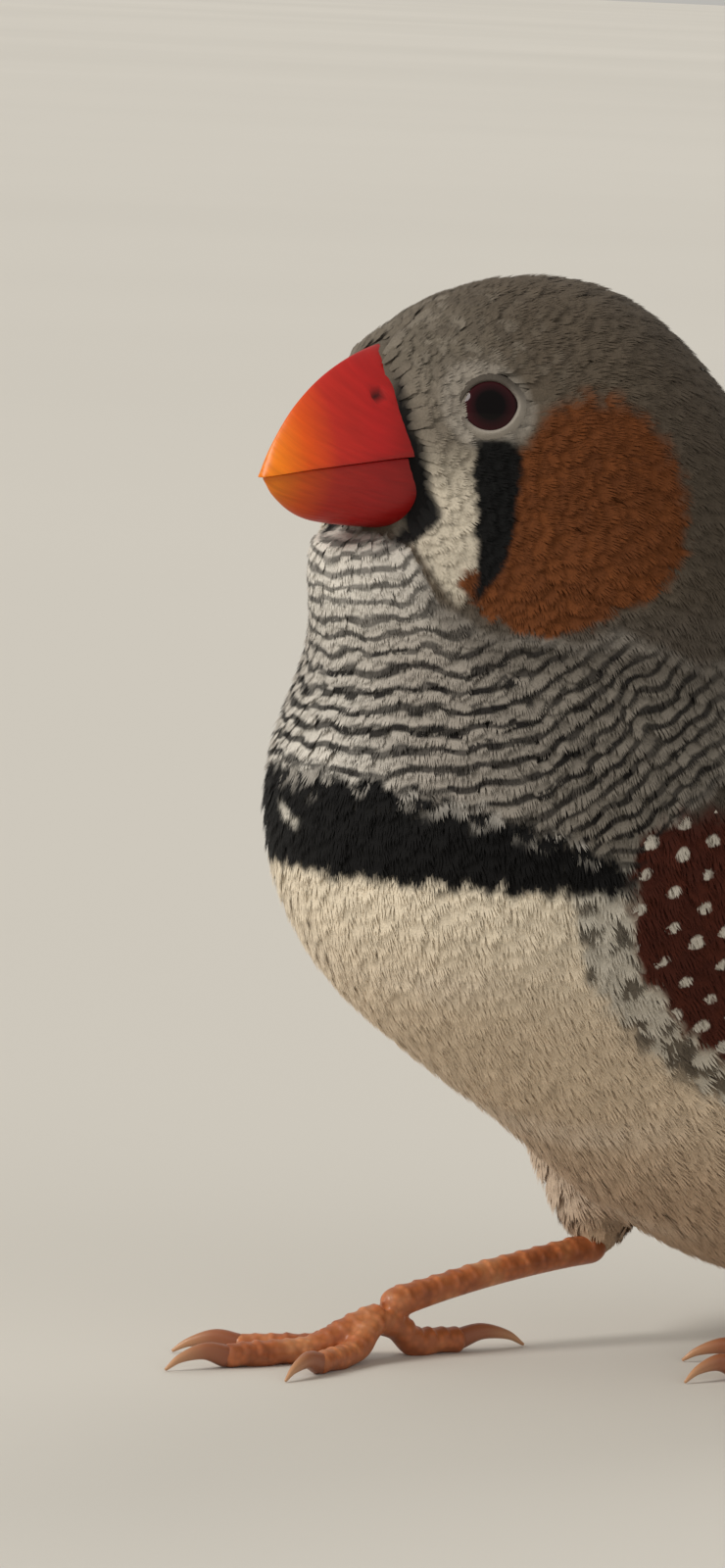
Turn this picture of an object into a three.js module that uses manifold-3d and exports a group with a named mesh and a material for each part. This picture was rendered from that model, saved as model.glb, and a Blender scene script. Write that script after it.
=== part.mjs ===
// A zebra finch, adult male, standing low on both feet with its right foot forward.
// Millimetres. +Z is up, the bird faces -Y, its left side is +X, and the floor is Z = 0.

import * as THREE from "three";
import { mergeVertices } from "three/addons/utils/BufferGeometryUtils.js";
import Module from "manifold-3d";

const wasm = await Module();
wasm.setup();

// Driving dimensions

const GAP = 0.3; // left between solids that meet
const HEAD_MESH = 1.85; // spacing of the head's facets
const NECK_MESH = 2.3; // spacing of the neck's facets
const TORSO_MESH = 2.9; // spacing of the torso's facets
const THIGH_MESH = 1.5; // spacing of the thighs' facets
const BLEND = 6; // how widely neighbouring body forms flow into each other, unless one names its own

const HEAD = { centre: [0.4, -13.6, 49.5], yaw: 8 };
const BODY_FORMS = [
  { name: "skull", at: [0.4, -13.0, 49.6], radii: [7.4, 8.6, 8.1], yaw: 8 },
  { name: "face", at: [1.1, -18.6, 50.1], radii: [5.2, 6.2, 6.0], yaw: 8, blend: 4 },
  { name: "throat", at: [0.7, -19.5, 43.0], radii: [5.3, 6.7, 5.3], yaw: 8, blend: 3.5 },
  { name: "neck", at: [0.2, -8.8, 42.2], radii: [9.8, 11.6, 10.4], pitch: 20 },
  { name: "breast", at: [0, -12.0, 30], radii: [13.0, 14.8, 14] },
  { name: "belly", at: [0, 1, 20.8], radii: [12.9, 23, 14.6], pitch: 34 },
  { name: "rump", at: [0, 21, 17.8], radii: [9.6, 17, 8.8], pitch: 16 },
  { name: "tail root", at: [0, 33, 14.9], radii: [4.6, 10, 3.6], pitch: 12 },
];

// Cuts that part the body: a point on each, and the direction that looks forward along the bird
const HEAD_CUT = { at: [0, -10.5, 42.2], pitch: 62 };
const NECK_CUT = { at: [0, -8, 35.6], pitch: 48 };
const TAIL_CUT = { at: [0, 32, 15.3], pitch: 12 };

const EYE = { forward: 7.2, up: 1.8, radius: 2.35, opening: 1.42, lid: 1.62, lidThick: 0.36 };
// Heights over the head's centre at distances ahead of it, from inside the face to the tip
const BILL = {
  culmen: [[7.5, 5.2], [10.9, 4.4], [13.4, 3.2], [15.4, 1.5], [16.8, -0.5], [17.5, -2.1]],
  mouth: [[7.5, -0.9], [10.8, -1.05], [15, -1.7], [17.5, -2.25]],
  keel: [[7.5, -5.3], [10.5, -4.95], [14, -4.55], [15.4, -4.05], [16.6, -3.2], [17.2, -2.45]],
  halfWidth: [[7.5, 3.7], [10.8, 3.3], [13.2, 2.6], [15.6, 1.5], [17, 0.65], [17.5, 0.2]],
  slit: 0.3, // the line of the mouth
};
const NOSTRIL = { forward: 11.3, side: 1.9, up: 2.3, radius: 0.5 };

const LEGS = [
  {
    side: "left",
    hip: [8.8, 11.5, 12.5],
    heel: [7.4, 19.8, 5.6],
    ankle: [4.6, 7.2, 2.7],
    heading: 10,
    thigh: 5.2,
  },
  {
    side: "right",
    hip: [-7.4, -2.0, 13.2],
    heel: [-5.6, -3.4, 5.1],
    ankle: [-4.2, -17.6, 2.7],
    heading: 4,
    thigh: 5.2,
  },
];
const TARSUS_RADIUS = 0.8;
const TOES = [
  { name: "inner", turn: -27, length: 6.8, radius: 0.72, claw: 2.9 },
  { name: "middle", turn: 2, length: 9.8, radius: 0.78, claw: 3.1 },
  { name: "outer", turn: 27, length: 7.9, radius: 0.7, claw: 2.9 },
  { name: "hind", turn: 180, length: 5.4, radius: 0.82, claw: 3.8 },
];

const TAIL = { root: [0, 31, 15.9], droop: 12, length: 37, pairs: 6, width: 4.6, thick: 0.55 };

// Colours of the real surfaces

const finish = (color, roughness) => new THREE.MeshStandardMaterial({ color, roughness, metalness: 0 });
const GREY = finish(0x7b7168, 0.85);
const BARRED = finish(0xa09a92, 0.85);
const PALE = finish(0xd9cfc0, 0.85);
const BROWN = finish(0x6b5d50, 0.8);
const BLACK = finish(0x1d1a1a, 0.75);
const RED = finish(0xc23a2a, 0.35);
const ORANGE = finish(0xc4662c, 0.5);
const HORN = finish(0x8a6a55, 0.4);
const EYE_DARK = finish(0x2a0f0e, 0.08);

const vec = (x, y, z) => new THREE.Vector3(x, y, z);
const point = (list) => new THREE.Vector3(...list);
const radians = THREE.MathUtils.degToRad;
const mix = THREE.MathUtils.lerp;
const random = seededRandom(7);

// The same run of numbers in every build
function seededRandom(seed) {
  let state = seed;
  return () => {
    state = (state * 16807) % 2147483647;
    return state / 2147483647;
  };
}

const vary = (share) => 1 + (random() * 2 - 1) * share;

// Smooth value at x along a few [x, value] knots
function along(knots, x) {
  let i = 0;
  while (i < knots.length - 2 && x > knots[i + 1][0]) i += 1;
  const [x0, v0] = knots[i];
  const [x1, v1] = knots[i + 1];
  const t = THREE.MathUtils.clamp((x - x0) / (x1 - x0), 0, 1);
  const before = knots[Math.max(i - 1, 0)];
  const after = knots[Math.min(i + 2, knots.length - 1)];
  const slope0 = (v1 - before[1]) / (x1 - before[0]);
  const slope1 = (after[1] - v0) / (after[0] - x0);
  const width = x1 - x0;
  return (
    v0 * (2 * t ** 3 - 3 * t ** 2 + 1) +
    slope0 * width * (t ** 3 - 2 * t ** 2 + t) +
    v1 * (3 * t ** 2 - 2 * t ** 3) +
    slope1 * width * (t ** 3 - t ** 2)
  );
}

// Joining and cutting

function solid(geometry) {
  const bare = geometry.clone();
  bare.deleteAttribute("normal");
  bare.deleteAttribute("uv");
  const merged = mergeVertices(bare, 1e-4);
  return new wasm.Manifold(
    new wasm.Mesh({
      numProp: 3,
      vertProperties: new Float32Array(merged.attributes.position.array),
      triVerts: new Uint32Array(merged.index.array),
    }),
  );
}

function largest(body) {
  return body.decompose().reduce((best, one) => (one.volume() > best.volume() ? one : best));
}

const fused = (pieces) => pieces.reduce((sum, piece) => sum.add(piece));

function geometryOf(body) {
  const mesh = body.getMesh();
  const geometry = new THREE.BufferGeometry();
  geometry.setAttribute("position", new THREE.BufferAttribute(new Float32Array(mesh.vertProperties), 3));
  geometry.setIndex(new THREE.BufferAttribute(new Uint32Array(mesh.triVerts), 1));
  geometry.computeVertexNormals();
  return geometry;
}

// Everything ahead of a plane
function ahead(origin, forward) {
  const half = 150;
  const box = new THREE.BoxGeometry(2 * half, 2 * half, 2 * half);
  box.translate(0, 0, half);
  box.applyQuaternion(new THREE.Quaternion().setFromUnitVectors(vec(0, 0, 1), forward));
  box.translate(origin.x, origin.y, origin.z);
  return solid(box);
}

const forwardUp = (pitch) => vec(0, -Math.cos(radians(pitch)), Math.sin(radians(pitch)));

// The part of a body between the plane `rear` and the plane `front`, each left GAP / 2 clear
function between(body, front, rear) {
  let kept = body;
  if (front) {
    const way = forwardUp(front.pitch);
    kept = kept.subtract(ahead(point(front.at).addScaledVector(way, -GAP / 2), way));
  }
  if (rear) {
    const way = forwardUp(rear.pitch);
    kept = kept.intersect(ahead(point(rear.at).addScaledVector(way, GAP / 2), way));
  }
  return largest(kept);
}

// The body's surface: rounded forms that flow into each other, as one distance field

function rounded({ at, radii, pitch = 0, yaw = 0 }) {
  const turn = new THREE.Matrix4()
    .makeRotationZ(radians(yaw))
    .multiply(new THREE.Matrix4().makeRotationX(radians(-pitch)))
    .invert();
  const centre = point(at);
  const [rx, ry, rz] = radii;
  const p = vec(0, 0, 0);
  return (x, y, z) => {
    p.set(x, y, z).sub(centre).applyMatrix4(turn);
    const near = Math.hypot(p.x / rx, p.y / ry, p.z / rz);
    const steep = Math.hypot(p.x / rx ** 2, p.y / ry ** 2, p.z / rz ** 2);
    return steep < 1e-9 ? -Math.min(rx, ry, rz) : (near * (near - 1)) / steep;
  };
}

function flowing(forms, usual) {
  const fields = forms.map(rounded);
  return (x, y, z) =>
    fields.reduce((sum, field, i) => {
      const blend = forms[i].blend ?? usual;
      const other = field(x, y, z);
      const overlap = Math.max(blend - Math.abs(sum - other), 0) / blend;
      return Math.min(sum, other) - overlap * overlap * blend * 0.25;
    }, 1e3);
}

const bodyField = flowing(BODY_FORMS, BLEND);

// A closed mesh of the surface where the field equals `level`, with facets of about `step`
function meshOf(field, low, high, step, level = 0) {
  const count = low.map((v, i) => Math.ceil((high[i] - v) / step) + 1);
  const [nx, ny, nz] = count;
  const index = (i, j, k) => (k * ny + j) * nx + i;
  const place = (i, j, k) => [low[0] + i * step, low[1] + j * step, low[2] + k * step];
  const value = new Float64Array(nx * ny * nz);
  for (let k = 0; k < nz; k += 1) {
    for (let j = 0; j < ny; j += 1) {
      for (let i = 0; i < nx; i += 1) {
        value[index(i, j, k)] = field(...place(i, j, k)) - level;
      }
    }
  }
  const positions = [];
  const cellVertex = new Map();
  const corners = [0, 1, 2, 3, 4, 5, 6, 7].map((c) => [c & 1, (c >> 1) & 1, c >> 2]);
  const edges = [];
  corners.forEach((a, m) => {
    corners.forEach((b, n) => {
      const apart = Math.abs(a[0] - b[0]) + Math.abs(a[1] - b[1]) + Math.abs(a[2] - b[2]);
      if (n > m && apart === 1) edges.push([a, b]);
    });
  });
  const vertexOf = (i, j, k) => {
    const key = index(i, j, k);
    if (cellVertex.has(key)) return cellVertex.get(key);
    const sum = [0, 0, 0];
    let hits = 0;
    for (const [a, b] of edges) {
      const va = value[index(i + a[0], j + a[1], k + a[2])];
      const vb = value[index(i + b[0], j + b[1], k + b[2])];
      if (va < 0 !== vb < 0) {
        const t = va / (va - vb);
        const pa = place(i + a[0], j + a[1], k + a[2]);
        const pb = place(i + b[0], j + b[1], k + b[2]);
        sum.forEach((_, n) => {
          sum[n] += mix(pa[n], pb[n], t);
        });
        hits += 1;
      }
    }
    const p = settle(field, sum.map((v) => v / hits), level, step);
    positions.push(...p);
    cellVertex.set(key, positions.length / 3 - 1);
    return positions.length / 3 - 1;
  };
  const triangles = [];
  const corner = (n) => vec(positions[3 * n], positions[3 * n + 1], positions[3 * n + 2]);
  const quad = (a, b, c, d) => {
    if (corner(a).distanceTo(corner(c)) < corner(b).distanceTo(corner(d))) {
      triangles.push(a, b, c, a, c, d);
    } else {
      triangles.push(a, b, d, b, c, d);
    }
  };
  for (let k = 1; k < nz - 1; k += 1) {
    for (let j = 1; j < ny - 1; j += 1) {
      for (let i = 1; i < nx - 1; i += 1) {
        const here = value[index(i, j, k)] < 0;
        const crossings = [
          [value[index(i + 1, j, k)] < 0, [0, 1, 0], [0, 0, 1]],
          [value[index(i, j + 1, k)] < 0, [0, 0, 1], [1, 0, 0]],
          [value[index(i, j, k + 1)] < 0, [1, 0, 0], [0, 1, 0]],
        ];
        for (const [there, u, v] of crossings) {
          if (here !== there) {
            const ring = [
              vertexOf(i - u[0] - v[0], j - u[1] - v[1], k - u[2] - v[2]),
              vertexOf(i - v[0], j - v[1], k - v[2]),
              vertexOf(i, j, k),
              vertexOf(i - u[0], j - u[1], k - u[2]),
            ];
            if (there) ring.reverse();
            quad(...ring);
          }
        }
      }
    }
  }
  const geometry = new THREE.BufferGeometry();
  geometry.setAttribute("position", new THREE.BufferAttribute(new Float32Array(positions), 3));
  geometry.setIndex(triangles);
  return geometry;
}

// Moves a point onto the surface, no further than part of a facet
function settle(field, start, level, step) {
  const p = [...start];
  const e = 0.05;
  for (let round = 0; round < 3; round += 1) {
    const d = field(...p) - level;
    const slope = [0, 1, 2].map((n) => {
      const q = [...p];
      q[n] += e;
      return (field(...q) - level - d) / e;
    });
    const steep = slope.reduce((sum, s) => sum + s * s, 0);
    for (let n = 0; n < 3; n += 1) {
      const moved = p[n] - (d * slope[n]) / Math.max(steep, 0.2);
      p[n] = THREE.MathUtils.clamp(moved, start[n] - step * 0.35, start[n] + step * 0.35);
    }
  }
  return p;
}

const BODY_LOW = [-22, -32, 0];
const BODY_HIGH = [22, 50, 66];
const bodySolid = (step, level = 0) => solid(meshOf(bodyField, BODY_LOW, BODY_HIGH, step, level));

// Lofts

// A closed body through rings of points, all with the same count, first to last.
// Quads from ring point `flipFrom` on are split the other way, so that two thin faces match.
function loft(rings, flipFrom = 1e9) {
  const n = rings[0].length;
  const positions = rings.flatMap((ring) => ring.flatMap((p) => [p.x, p.y, p.z]));
  const triangles = [];
  for (let i = 0; i < rings.length - 1; i += 1) {
    for (let j = 0; j < n; j += 1) {
      const a = i * n + j;
      const b = i * n + ((j + 1) % n);
      const c = b + n;
      const d = a + n;
      if (j >= flipFrom) triangles.push(a, b, d, b, c, d);
      else triangles.push(a, b, c, a, c, d);
    }
  }
  const last = (rings.length - 1) * n;
  for (let j = 1; j < n - 1; j += 1) {
    triangles.push(0, j + 1, j);
    triangles.push(last, last + j, last + j + 1);
  }
  const geometry = new THREE.BufferGeometry();
  geometry.setAttribute("position", new THREE.BufferAttribute(new Float32Array(positions), 3));
  geometry.setIndex(triangles);
  const body = solid(geometry);
  if (body.volume() > 0) return body;
  for (let t = 0; t < triangles.length; t += 3) {
    [triangles[t], triangles[t + 1]] = [triangles[t + 1], triangles[t]];
  }
  geometry.setIndex(triangles);
  return solid(geometry);
}

// A round rod that follows a curve, with radius(t) for t from 0 to 1
function rod(curve, radius, stations, sides) {
  const rings = [];
  for (let i = 0; i <= stations; i += 1) {
    const t = i / stations;
    const way = curve.getTangentAt(t);
    const across = vec(0, 0, 1).cross(way).normalize();
    const up = way.clone().cross(across);
    const centre = curve.getPointAt(t);
    const ring = [];
    for (let j = 0; j < sides; j += 1) {
      const angle = (2 * Math.PI * j) / sides;
      ring.push(
        centre
          .clone()
          .addScaledVector(across, radius(t) * Math.cos(angle))
          .addScaledVector(up, radius(t) * Math.sin(angle)),
      );
    }
    rings.push(ring);
  }
  return loft(rings);
}

// Head: skull with eye sockets and lids

const headTurn = new THREE.Matrix4()
  .makeTranslation(...HEAD.centre)
  .multiply(new THREE.Matrix4().makeRotationZ(radians(HEAD.yaw)));

// A place on the head: ahead of its centre, to its left, and up
const onHead = (forward, left, up) => vec(left, -forward, up).applyMatrix4(headTurn);

function ball(centre, radius, detail = 3) {
  const sphere = new THREE.IcosahedronGeometry(radius, detail);
  sphere.translate(centre.x, centre.y, centre.z);
  return solid(sphere);
}

// The place of an eye on the skin, and the way it looks out
function eyeSpot(side) {
  const at = (reach) => onHead(EYE.forward, side * reach, EYE.up);
  let low = 0;
  let high = 12;
  for (let step = 0; step < 24; step += 1) {
    const middle = (low + high) / 2;
    if (bodyField(...at(middle).toArray()) < 0) low = middle;
    else high = middle;
  }
  const skin = at(low);
  const e = 0.05;
  const out = vec(
    bodyField(skin.x + e, skin.y, skin.z) - bodyField(skin.x - e, skin.y, skin.z),
    bodyField(skin.x, skin.y + e, skin.z) - bodyField(skin.x, skin.y - e, skin.z),
    bodyField(skin.x, skin.y, skin.z + e) - bodyField(skin.x, skin.y, skin.z - e),
  ).normalize();
  const sunk = Math.sqrt((EYE.radius + GAP) ** 2 - (EYE.opening + GAP) ** 2);
  return { centre: skin.clone().addScaledVector(out, -sunk), out, skin };
}

function lidRing({ skin, out }) {
  const ring = new THREE.TorusGeometry(EYE.lid + GAP / 2, EYE.lidThick, 6, 18);
  ring.applyQuaternion(new THREE.Quaternion().setFromUnitVectors(vec(0, 0, 1), out));
  ring.translate(...skin.toArray());
  return solid(ring);
}

// Bill: two halves, each a loft of sections across the head's forward line

function billHalf(upper) {
  const profile = upper ? BILL.culmen : BILL.keel;
  const start = profile[0][0];
  const tip = profile[profile.length - 1][0];
  const stations = 8;
  const sides = 9;
  const rings = [];
  for (let i = 0; i <= stations; i += 1) {
    const forward = mix(start, tip, (i / stations) ** 0.8);
    const edge = along(BILL.mouth, forward) + (upper ? 0.5 : -0.5) * BILL.slit;
    const height = along(profile, forward) - edge;
    const least = upper ? Math.max(height, 0.15) : Math.min(height, -0.15);
    const width = along(BILL.halfWidth, upper ? forward : forward + 0.35) * (upper ? 1 : 0.95);
    const power = upper ? 1.3 : 1.7;
    const ring = [];
    for (let j = 0; j <= sides; j += 1) {
      const angle = (Math.PI * j) / sides;
      const out = Math.sign(Math.cos(angle)) * Math.abs(Math.cos(angle)) ** (2 / power);
      const rise = Math.sin(angle) ** (2 / power);
      ring.push(onHead(forward, width * out, edge + least * rise));
    }
    rings.push(ring);
  }
  return loft(rings);
}

// Legs, feet and claws

const legWay = (leg, turn) => {
  const angle = radians(leg.heading + turn);
  return vec(Math.sin(angle), -Math.cos(angle), 0);
};

// The run of one toe: from the ankle down to the floor and along it, with a low arch
function toeCurve(leg, toe) {
  const ankle = point(leg.ankle);
  const way = legWay(leg, leg.side === "left" ? toe.turn : -toe.turn);
  const rest = toe.radius - 0.26;
  const at = (share, height) => {
    const p = ankle.clone().addScaledVector(way, toe.length * share);
    p.z = height;
    return p;
  };
  return new THREE.CatmullRomCurve3([
    ankle.clone().add(vec(0, 0, -0.5)),
    at(0.2, mix(ankle.z, rest, 0.55)),
    at(0.42, rest + 0.1),
    at(0.68, rest + 0.02),
    at(1, rest),
  ]);
}

const floorSide = ahead(vec(0, 0, 0), vec(0, 0, 1));

function foot(leg) {
  const toes = TOES.map((toe) => {
    const knuckles = (t) => toe.radius * (1 + 0.13 * Math.cos(2 * Math.PI * (3 * t))) * mix(1.08, 0.86, t);
    return rod(toeCurve(leg, toe), knuckles, 6, 6);
  });
  const heart = ball(point(leg.ankle).add(vec(0, 0, -0.45)), 1.15, 1);
  return largest(fused([heart, ...toes]).intersect(floorSide).subtract(tarsus(leg, GAP)));
}

function claw(leg, toe) {
  const curve = toeCurve(leg, toe);
  const end = curve.getPointAt(1);
  const way = curve.getTangentAt(1).setZ(0).normalize();
  const start = end.clone().addScaledVector(way, GAP);
  const at = (share, height) => {
    const p = start.clone().addScaledVector(way, toe.claw * share);
    p.z = height;
    return p;
  };
  const hook = new THREE.CatmullRomCurve3([
    start.clone(),
    at(0.35, end.z + 0.42),
    at(0.75, end.z + 0.12),
    at(1, 0.06),
  ]);
  return largest(rod(hook, (t) => mix(0.5, 0.1, t ** 1.2), 4, 5).intersect(floorSide));
}

// The shank from heel to ankle, or the room round it that `grown` adds
function tarsus(leg, grown = 0) {
  const heel = point(leg.heel);
  const ankle = point(leg.ankle);
  const way = ankle.clone().sub(heel).normalize();
  const start = heel.clone().addScaledVector(way, 0.6 - grown);
  const end = ankle.clone().addScaledVector(way, -1.0 + grown);
  const middle = start.clone().lerp(end, 0.5).add(vec(0, 0, 0.25));
  const shin = new THREE.CatmullRomCurve3([start, middle, end]);
  return rod(shin, (t) => TARSUS_RADIUS * (1 + 0.2 * (2 * t - 1) ** 4) + grown, 6, 7);
}

const clearTorso = bodySolid(TORSO_MESH, GAP);

function thigh(leg) {
  const hip = point(leg.hip);
  const heel = point(leg.heel);
  const forms = [0, 0.3, 0.6, 0.85, 1].map((t) => {
    const p = hip.clone().lerp(heel, t);
    const r = mix(leg.thigh, 1.45, t ** 0.9);
    const flat = mix(0.75, 1, t);
    return { at: p.toArray(), radii: [r * flat, r, r] };
  });
  const field = flowing(forms, 3);
  const low = [0, 1, 2].map((n) => Math.min(leg.hip[n], leg.heel[n]) - leg.thigh - 3);
  const high = [0, 1, 2].map((n) => Math.max(leg.hip[n], leg.heel[n]) + leg.thigh + 3);
  const whole = solid(meshOf(field, low, high, THIGH_MESH));
  return largest(whole.subtract(clearTorso).subtract(tarsus(leg, GAP)));
}

// Wings: a thin core that lies on the body, and tiers of vanes over it

const WING_AXIS = [[-10, 29], [0, 24.6], [10, 21.6], [20, 19.5], [30, 17.8], [46, 16.6]];
const WING_TIP = { y: 46, radius: 3.2 };
const WING_STRAIGHT = { y: 8, radius: 13.5 }; // behind this the wing runs straight to its tip
const WING_NEAR = 0.25; // and ahead of it stays on the body

function bodyRadius(y, angle) {
  const z = along(WING_AXIS, y);
  const inside = (r) => bodyField(r * Math.cos(angle), y, z + r * Math.sin(angle)) < 0;
  let low = 0;
  let high = 24;
  for (let step = 0; step < 24; step += 1) {
    const middle = (low + high) / 2;
    if (inside(middle)) low = middle;
    else high = middle;
  }
  return low;
}

// A point of the left wing's sheet: `lift` above the body at height `degrees` around it
function onWing(y, degrees, lift) {
  const angle = radians(degrees);
  const behind = (y - WING_STRAIGHT.y) / (WING_TIP.y - WING_STRAIGHT.y);
  const straight =
    behind > 0
      ? mix(WING_STRAIGHT.radius, WING_TIP.radius, behind)
      : WING_STRAIGHT.radius - WING_NEAR * (WING_STRAIGHT.y - y);
  const body = bodyRadius(y, angle);
  const soft = 2.5;
  const overlap = Math.max(soft - Math.abs(body - straight), 0) / soft;
  const radius = Math.max(body, straight) + overlap * overlap * soft * 0.25 + lift;
  return vec(radius * Math.cos(angle), y, along(WING_AXIS, y) + radius * Math.sin(angle));
}

const VANE_STATIONS = [0, 0.25, 0.62, 0.9, 1];
const VANE_WIDTH = [0.4, 0.82, 1, 0.72, 0.16];
const VANE_THICK = [1, 1, 1, 0.92, 0.6];

// One feather vane along place(t) with `across(t)` to its upper edge and `out(t)` away from the body.
// `tilt` sinks its upper edge and lifts its lower one, as tiles lie.
function vane({ place, across, out, halfWidth, thick, tilt, ridge }) {
  const rings = VANE_STATIONS.map((t, i) => {
    const half = halfWidth * VANE_WIDTH[i];
    const deep = thick * VANE_THICK[i];
    const lean = across(t).clone().addScaledVector(out(t), -tilt).normalize();
    const up = out(t);
    const at = (side, height) => place(t).clone().addScaledVector(lean, side * half).addScaledVector(up, height);
    if (!ridge) return [at(-1, deep / 2), at(1, deep / 2), at(1, -deep / 2), at(-1, -deep / 2)];
    return [
      at(-1, deep / 2),
      at(-0.15, deep / 2 + 0.16),
      at(1, deep / 2),
      at(1, -deep / 2),
      at(-0.15, -deep / 2 + 0.1),
      at(-1, -deep / 2),
    ];
  });
  return loft(rings, ridge ? 3 : 2);
}

function wingVane({ from, to, halfWidth, thick, lift, tilt, ridge }) {
  const spot = (t, sideways = 0, rise = 0) => {
    const y = mix(from[0], to[0], t);
    const degrees = mix(from[1], to[1], t ** 0.9) + sideways;
    return onWing(y, degrees, mix(lift[0], lift[1], t) + rise);
  };
  const out = (t) => spot(t, 0, 1).sub(spot(t)).normalize();
  const across = (t) => spot(t, 3).sub(spot(t)).normalize();
  return vane({ place: (t) => spot(t), across, out, halfWidth, thick, tilt, ridge });
}

const WING_TIERS = [
  {
    name: "primaries",
    count: 6,
    from: (s) => [3, mix(-2, 22, s)],
    to: (s) => [mix(46, 31, s), mix(24, 52, s)],
    halfWidth: 2.5,
    thick: 0.6,
    lift: [0.95, 0.95],
    tilt: 0.16,
    ridge: true,
  },
  {
    name: "secondaries and tertials",
    count: 6,
    from: (s) => [2, mix(12, 62, s)],
    to: (s) => [mix(32, 21, Math.max(0, s - 0.35) / 0.65), mix(16, 66, s)],
    halfWidth: 2.9,
    thick: 0.6,
    lift: [1.2, 1.25],
    tilt: 0.17,
    ridge: true,
  },
  {
    name: "greater coverts",
    count: 7,
    from: (s) => [-1.5, mix(-8, 58, s)],
    to: (s) => [mix(8.5, 6.5, s), mix(-2, 60, s)],
    halfWidth: 2.1,
    thick: 0.6,
    lift: [1.2, 1.6],
    tilt: 0.2,
    ridge: false,
  },
  {
    name: "median coverts",
    count: 6,
    from: (s) => [-4.8, mix(-8, 56, s)],
    to: (s) => [mix(2.2, 1.2, s), mix(-4, 60, s)],
    halfWidth: 2.2,
    thick: 0.6,
    lift: [1.0, 1.85],
    tilt: 0.22,
    ridge: false,
  },
];

const CORE_LOW = [[-6.8, 14], [-5, 0], [-1, -9], [5, -9], [15, -3], [29, 12]]; // lower edge, in degrees
const CORE_HIGH = [[-6.8, 42], [-5, 54], [-1, 62], [5, 66], [15, 68], [29, 62]];
const CORE_INSIDE = 0.45;

function wingCore() {
  const rows = [-6.8, -5, -1, 4, 9, 14, 20, 25, 29];
  const columns = 5;
  const rings = rows.map((y, i) => {
    const outside = i === 0 ? 0.7 : 1.15;
    const at = (c, lift) => onWing(y, mix(along(CORE_LOW, y), along(CORE_HIGH, y), c / columns), lift);
    const ring = [];
    for (let c = 0; c <= columns; c += 1) ring.push(at(c, outside));
    for (let c = columns; c >= 0; c -= 1) ring.push(at(c, CORE_INSIDE));
    return ring;
  });
  return loft(rings, columns + 1);
}

function wing() {
  const pieces = [wingCore()];
  for (const tier of WING_TIERS) {
    for (let i = 0; i < tier.count; i += 1) {
      const s = i / (tier.count - 1);
      const end = tier.to(s);
      pieces.push(
        wingVane({
          ...tier,
          from: tier.from(s),
          to: [end[0] + 0.5 * (vary(1) - 1), end[1]],
          halfWidth: tier.halfWidth * vary(0.05),
        }),
      );
    }
  }
  return largest(fused(pieces).subtract(ahead(vec(GAP / 2, 0, 0), vec(-1, 0, 0))));
}

function mirrored(body) {
  const geometry = geometryOf(body);
  geometry.scale(-1, 1, 1);
  const order = geometry.index.array;
  for (let t = 0; t < order.length; t += 3) {
    [order[t], order[t + 1]] = [order[t + 1], order[t]];
  }
  return solid(geometry);
}

// Tail: the end of the body, six pairs of tail feathers under one another, and their upper coverts

const tailBack = vec(0, Math.cos(radians(TAIL.droop)), -Math.sin(radians(TAIL.droop)));
const tailUp = vec(0, Math.sin(radians(TAIL.droop)), Math.cos(radians(TAIL.droop)));

function tailVane({ start, length, offset, spread, depth, sink, halfWidth, thick, ridge, side }) {
  const place = (t) =>
    point(TAIL.root)
      .addScaledVector(tailBack, mix(start, start + length, t))
      .add(vec(side * (offset + spread * t), 0, 0))
      .addScaledVector(tailUp, -depth * mix(1, sink, t) - 0.5 * t * t);
  return vane({
    place,
    across: () => vec(-side, 0, 0),
    out: () => tailUp,
    halfWidth,
    thick,
    tilt: -0.1,
    ridge,
  });
}

// The coverts over and under the tail's base, from the longest tier to the shortest
const TAIL_COVERTS = [
  { start: 0.6, length: 16, offset: 1.5, depth: -1.2, halfWidth: 1.9 },
  { start: 0.6, length: 12, offset: 0.9, depth: -2.0, halfWidth: 1.8 },
  { start: 0.6, length: 8, offset: 1.6, depth: -2.6, halfWidth: 1.7 },
  { start: 0.6, length: 14, offset: 1.3, depth: 2.3, halfWidth: 1.9 },
  { start: 0.6, length: 10, offset: 1.5, depth: 2.9, halfWidth: 1.7 },
];

function tail(core) {
  const pieces = [core];
  for (let pair = 0; pair < TAIL.pairs; pair += 1) {
    for (const side of [-1, 1]) {
      pieces.push(
        tailVane({
          side,
          start: 1.2,
          length: TAIL.length - 0.75 * pair - (pair === 0 ? 0.8 : 0) + 0.3 * (vary(1) - 1),
          offset: 0.35 + 0.28 * pair,
          spread: 0.3 + 0.34 * pair,
          depth: 0.32 * pair - 0.3,
          sink: 1,
          halfWidth: (TAIL.width / 2) * vary(0.03),
          thick: TAIL.thick,
          ridge: pair === 0,
        }),
      );
    }
  }
  for (const tier of TAIL_COVERTS) {
    for (const side of [-1, 1]) {
      pieces.push(tailVane({ ...tier, side, spread: 0.2, sink: 0.4, thick: 0.6, ridge: false }));
    }
  }
  const way = forwardUp(TAIL_CUT.pitch);
  const limit = ahead(point(TAIL_CUT.at).addScaledVector(way, -GAP / 2), way);
  return largest(fused(pieces).subtract(limit));
}

// The nodes

const bird = new THREE.Group();

function node(name, body, material) {
  const mesh = new THREE.Mesh(geometryOf(body), material);
  mesh.name = name;
  bird.add(mesh);
}

const fineBody = bodySolid(HEAD_MESH);
const middleBody = bodySolid(NECK_MESH);
const plainBody = bodySolid(TORSO_MESH);
const clearHead = bodySolid(HEAD_MESH, GAP);

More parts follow.
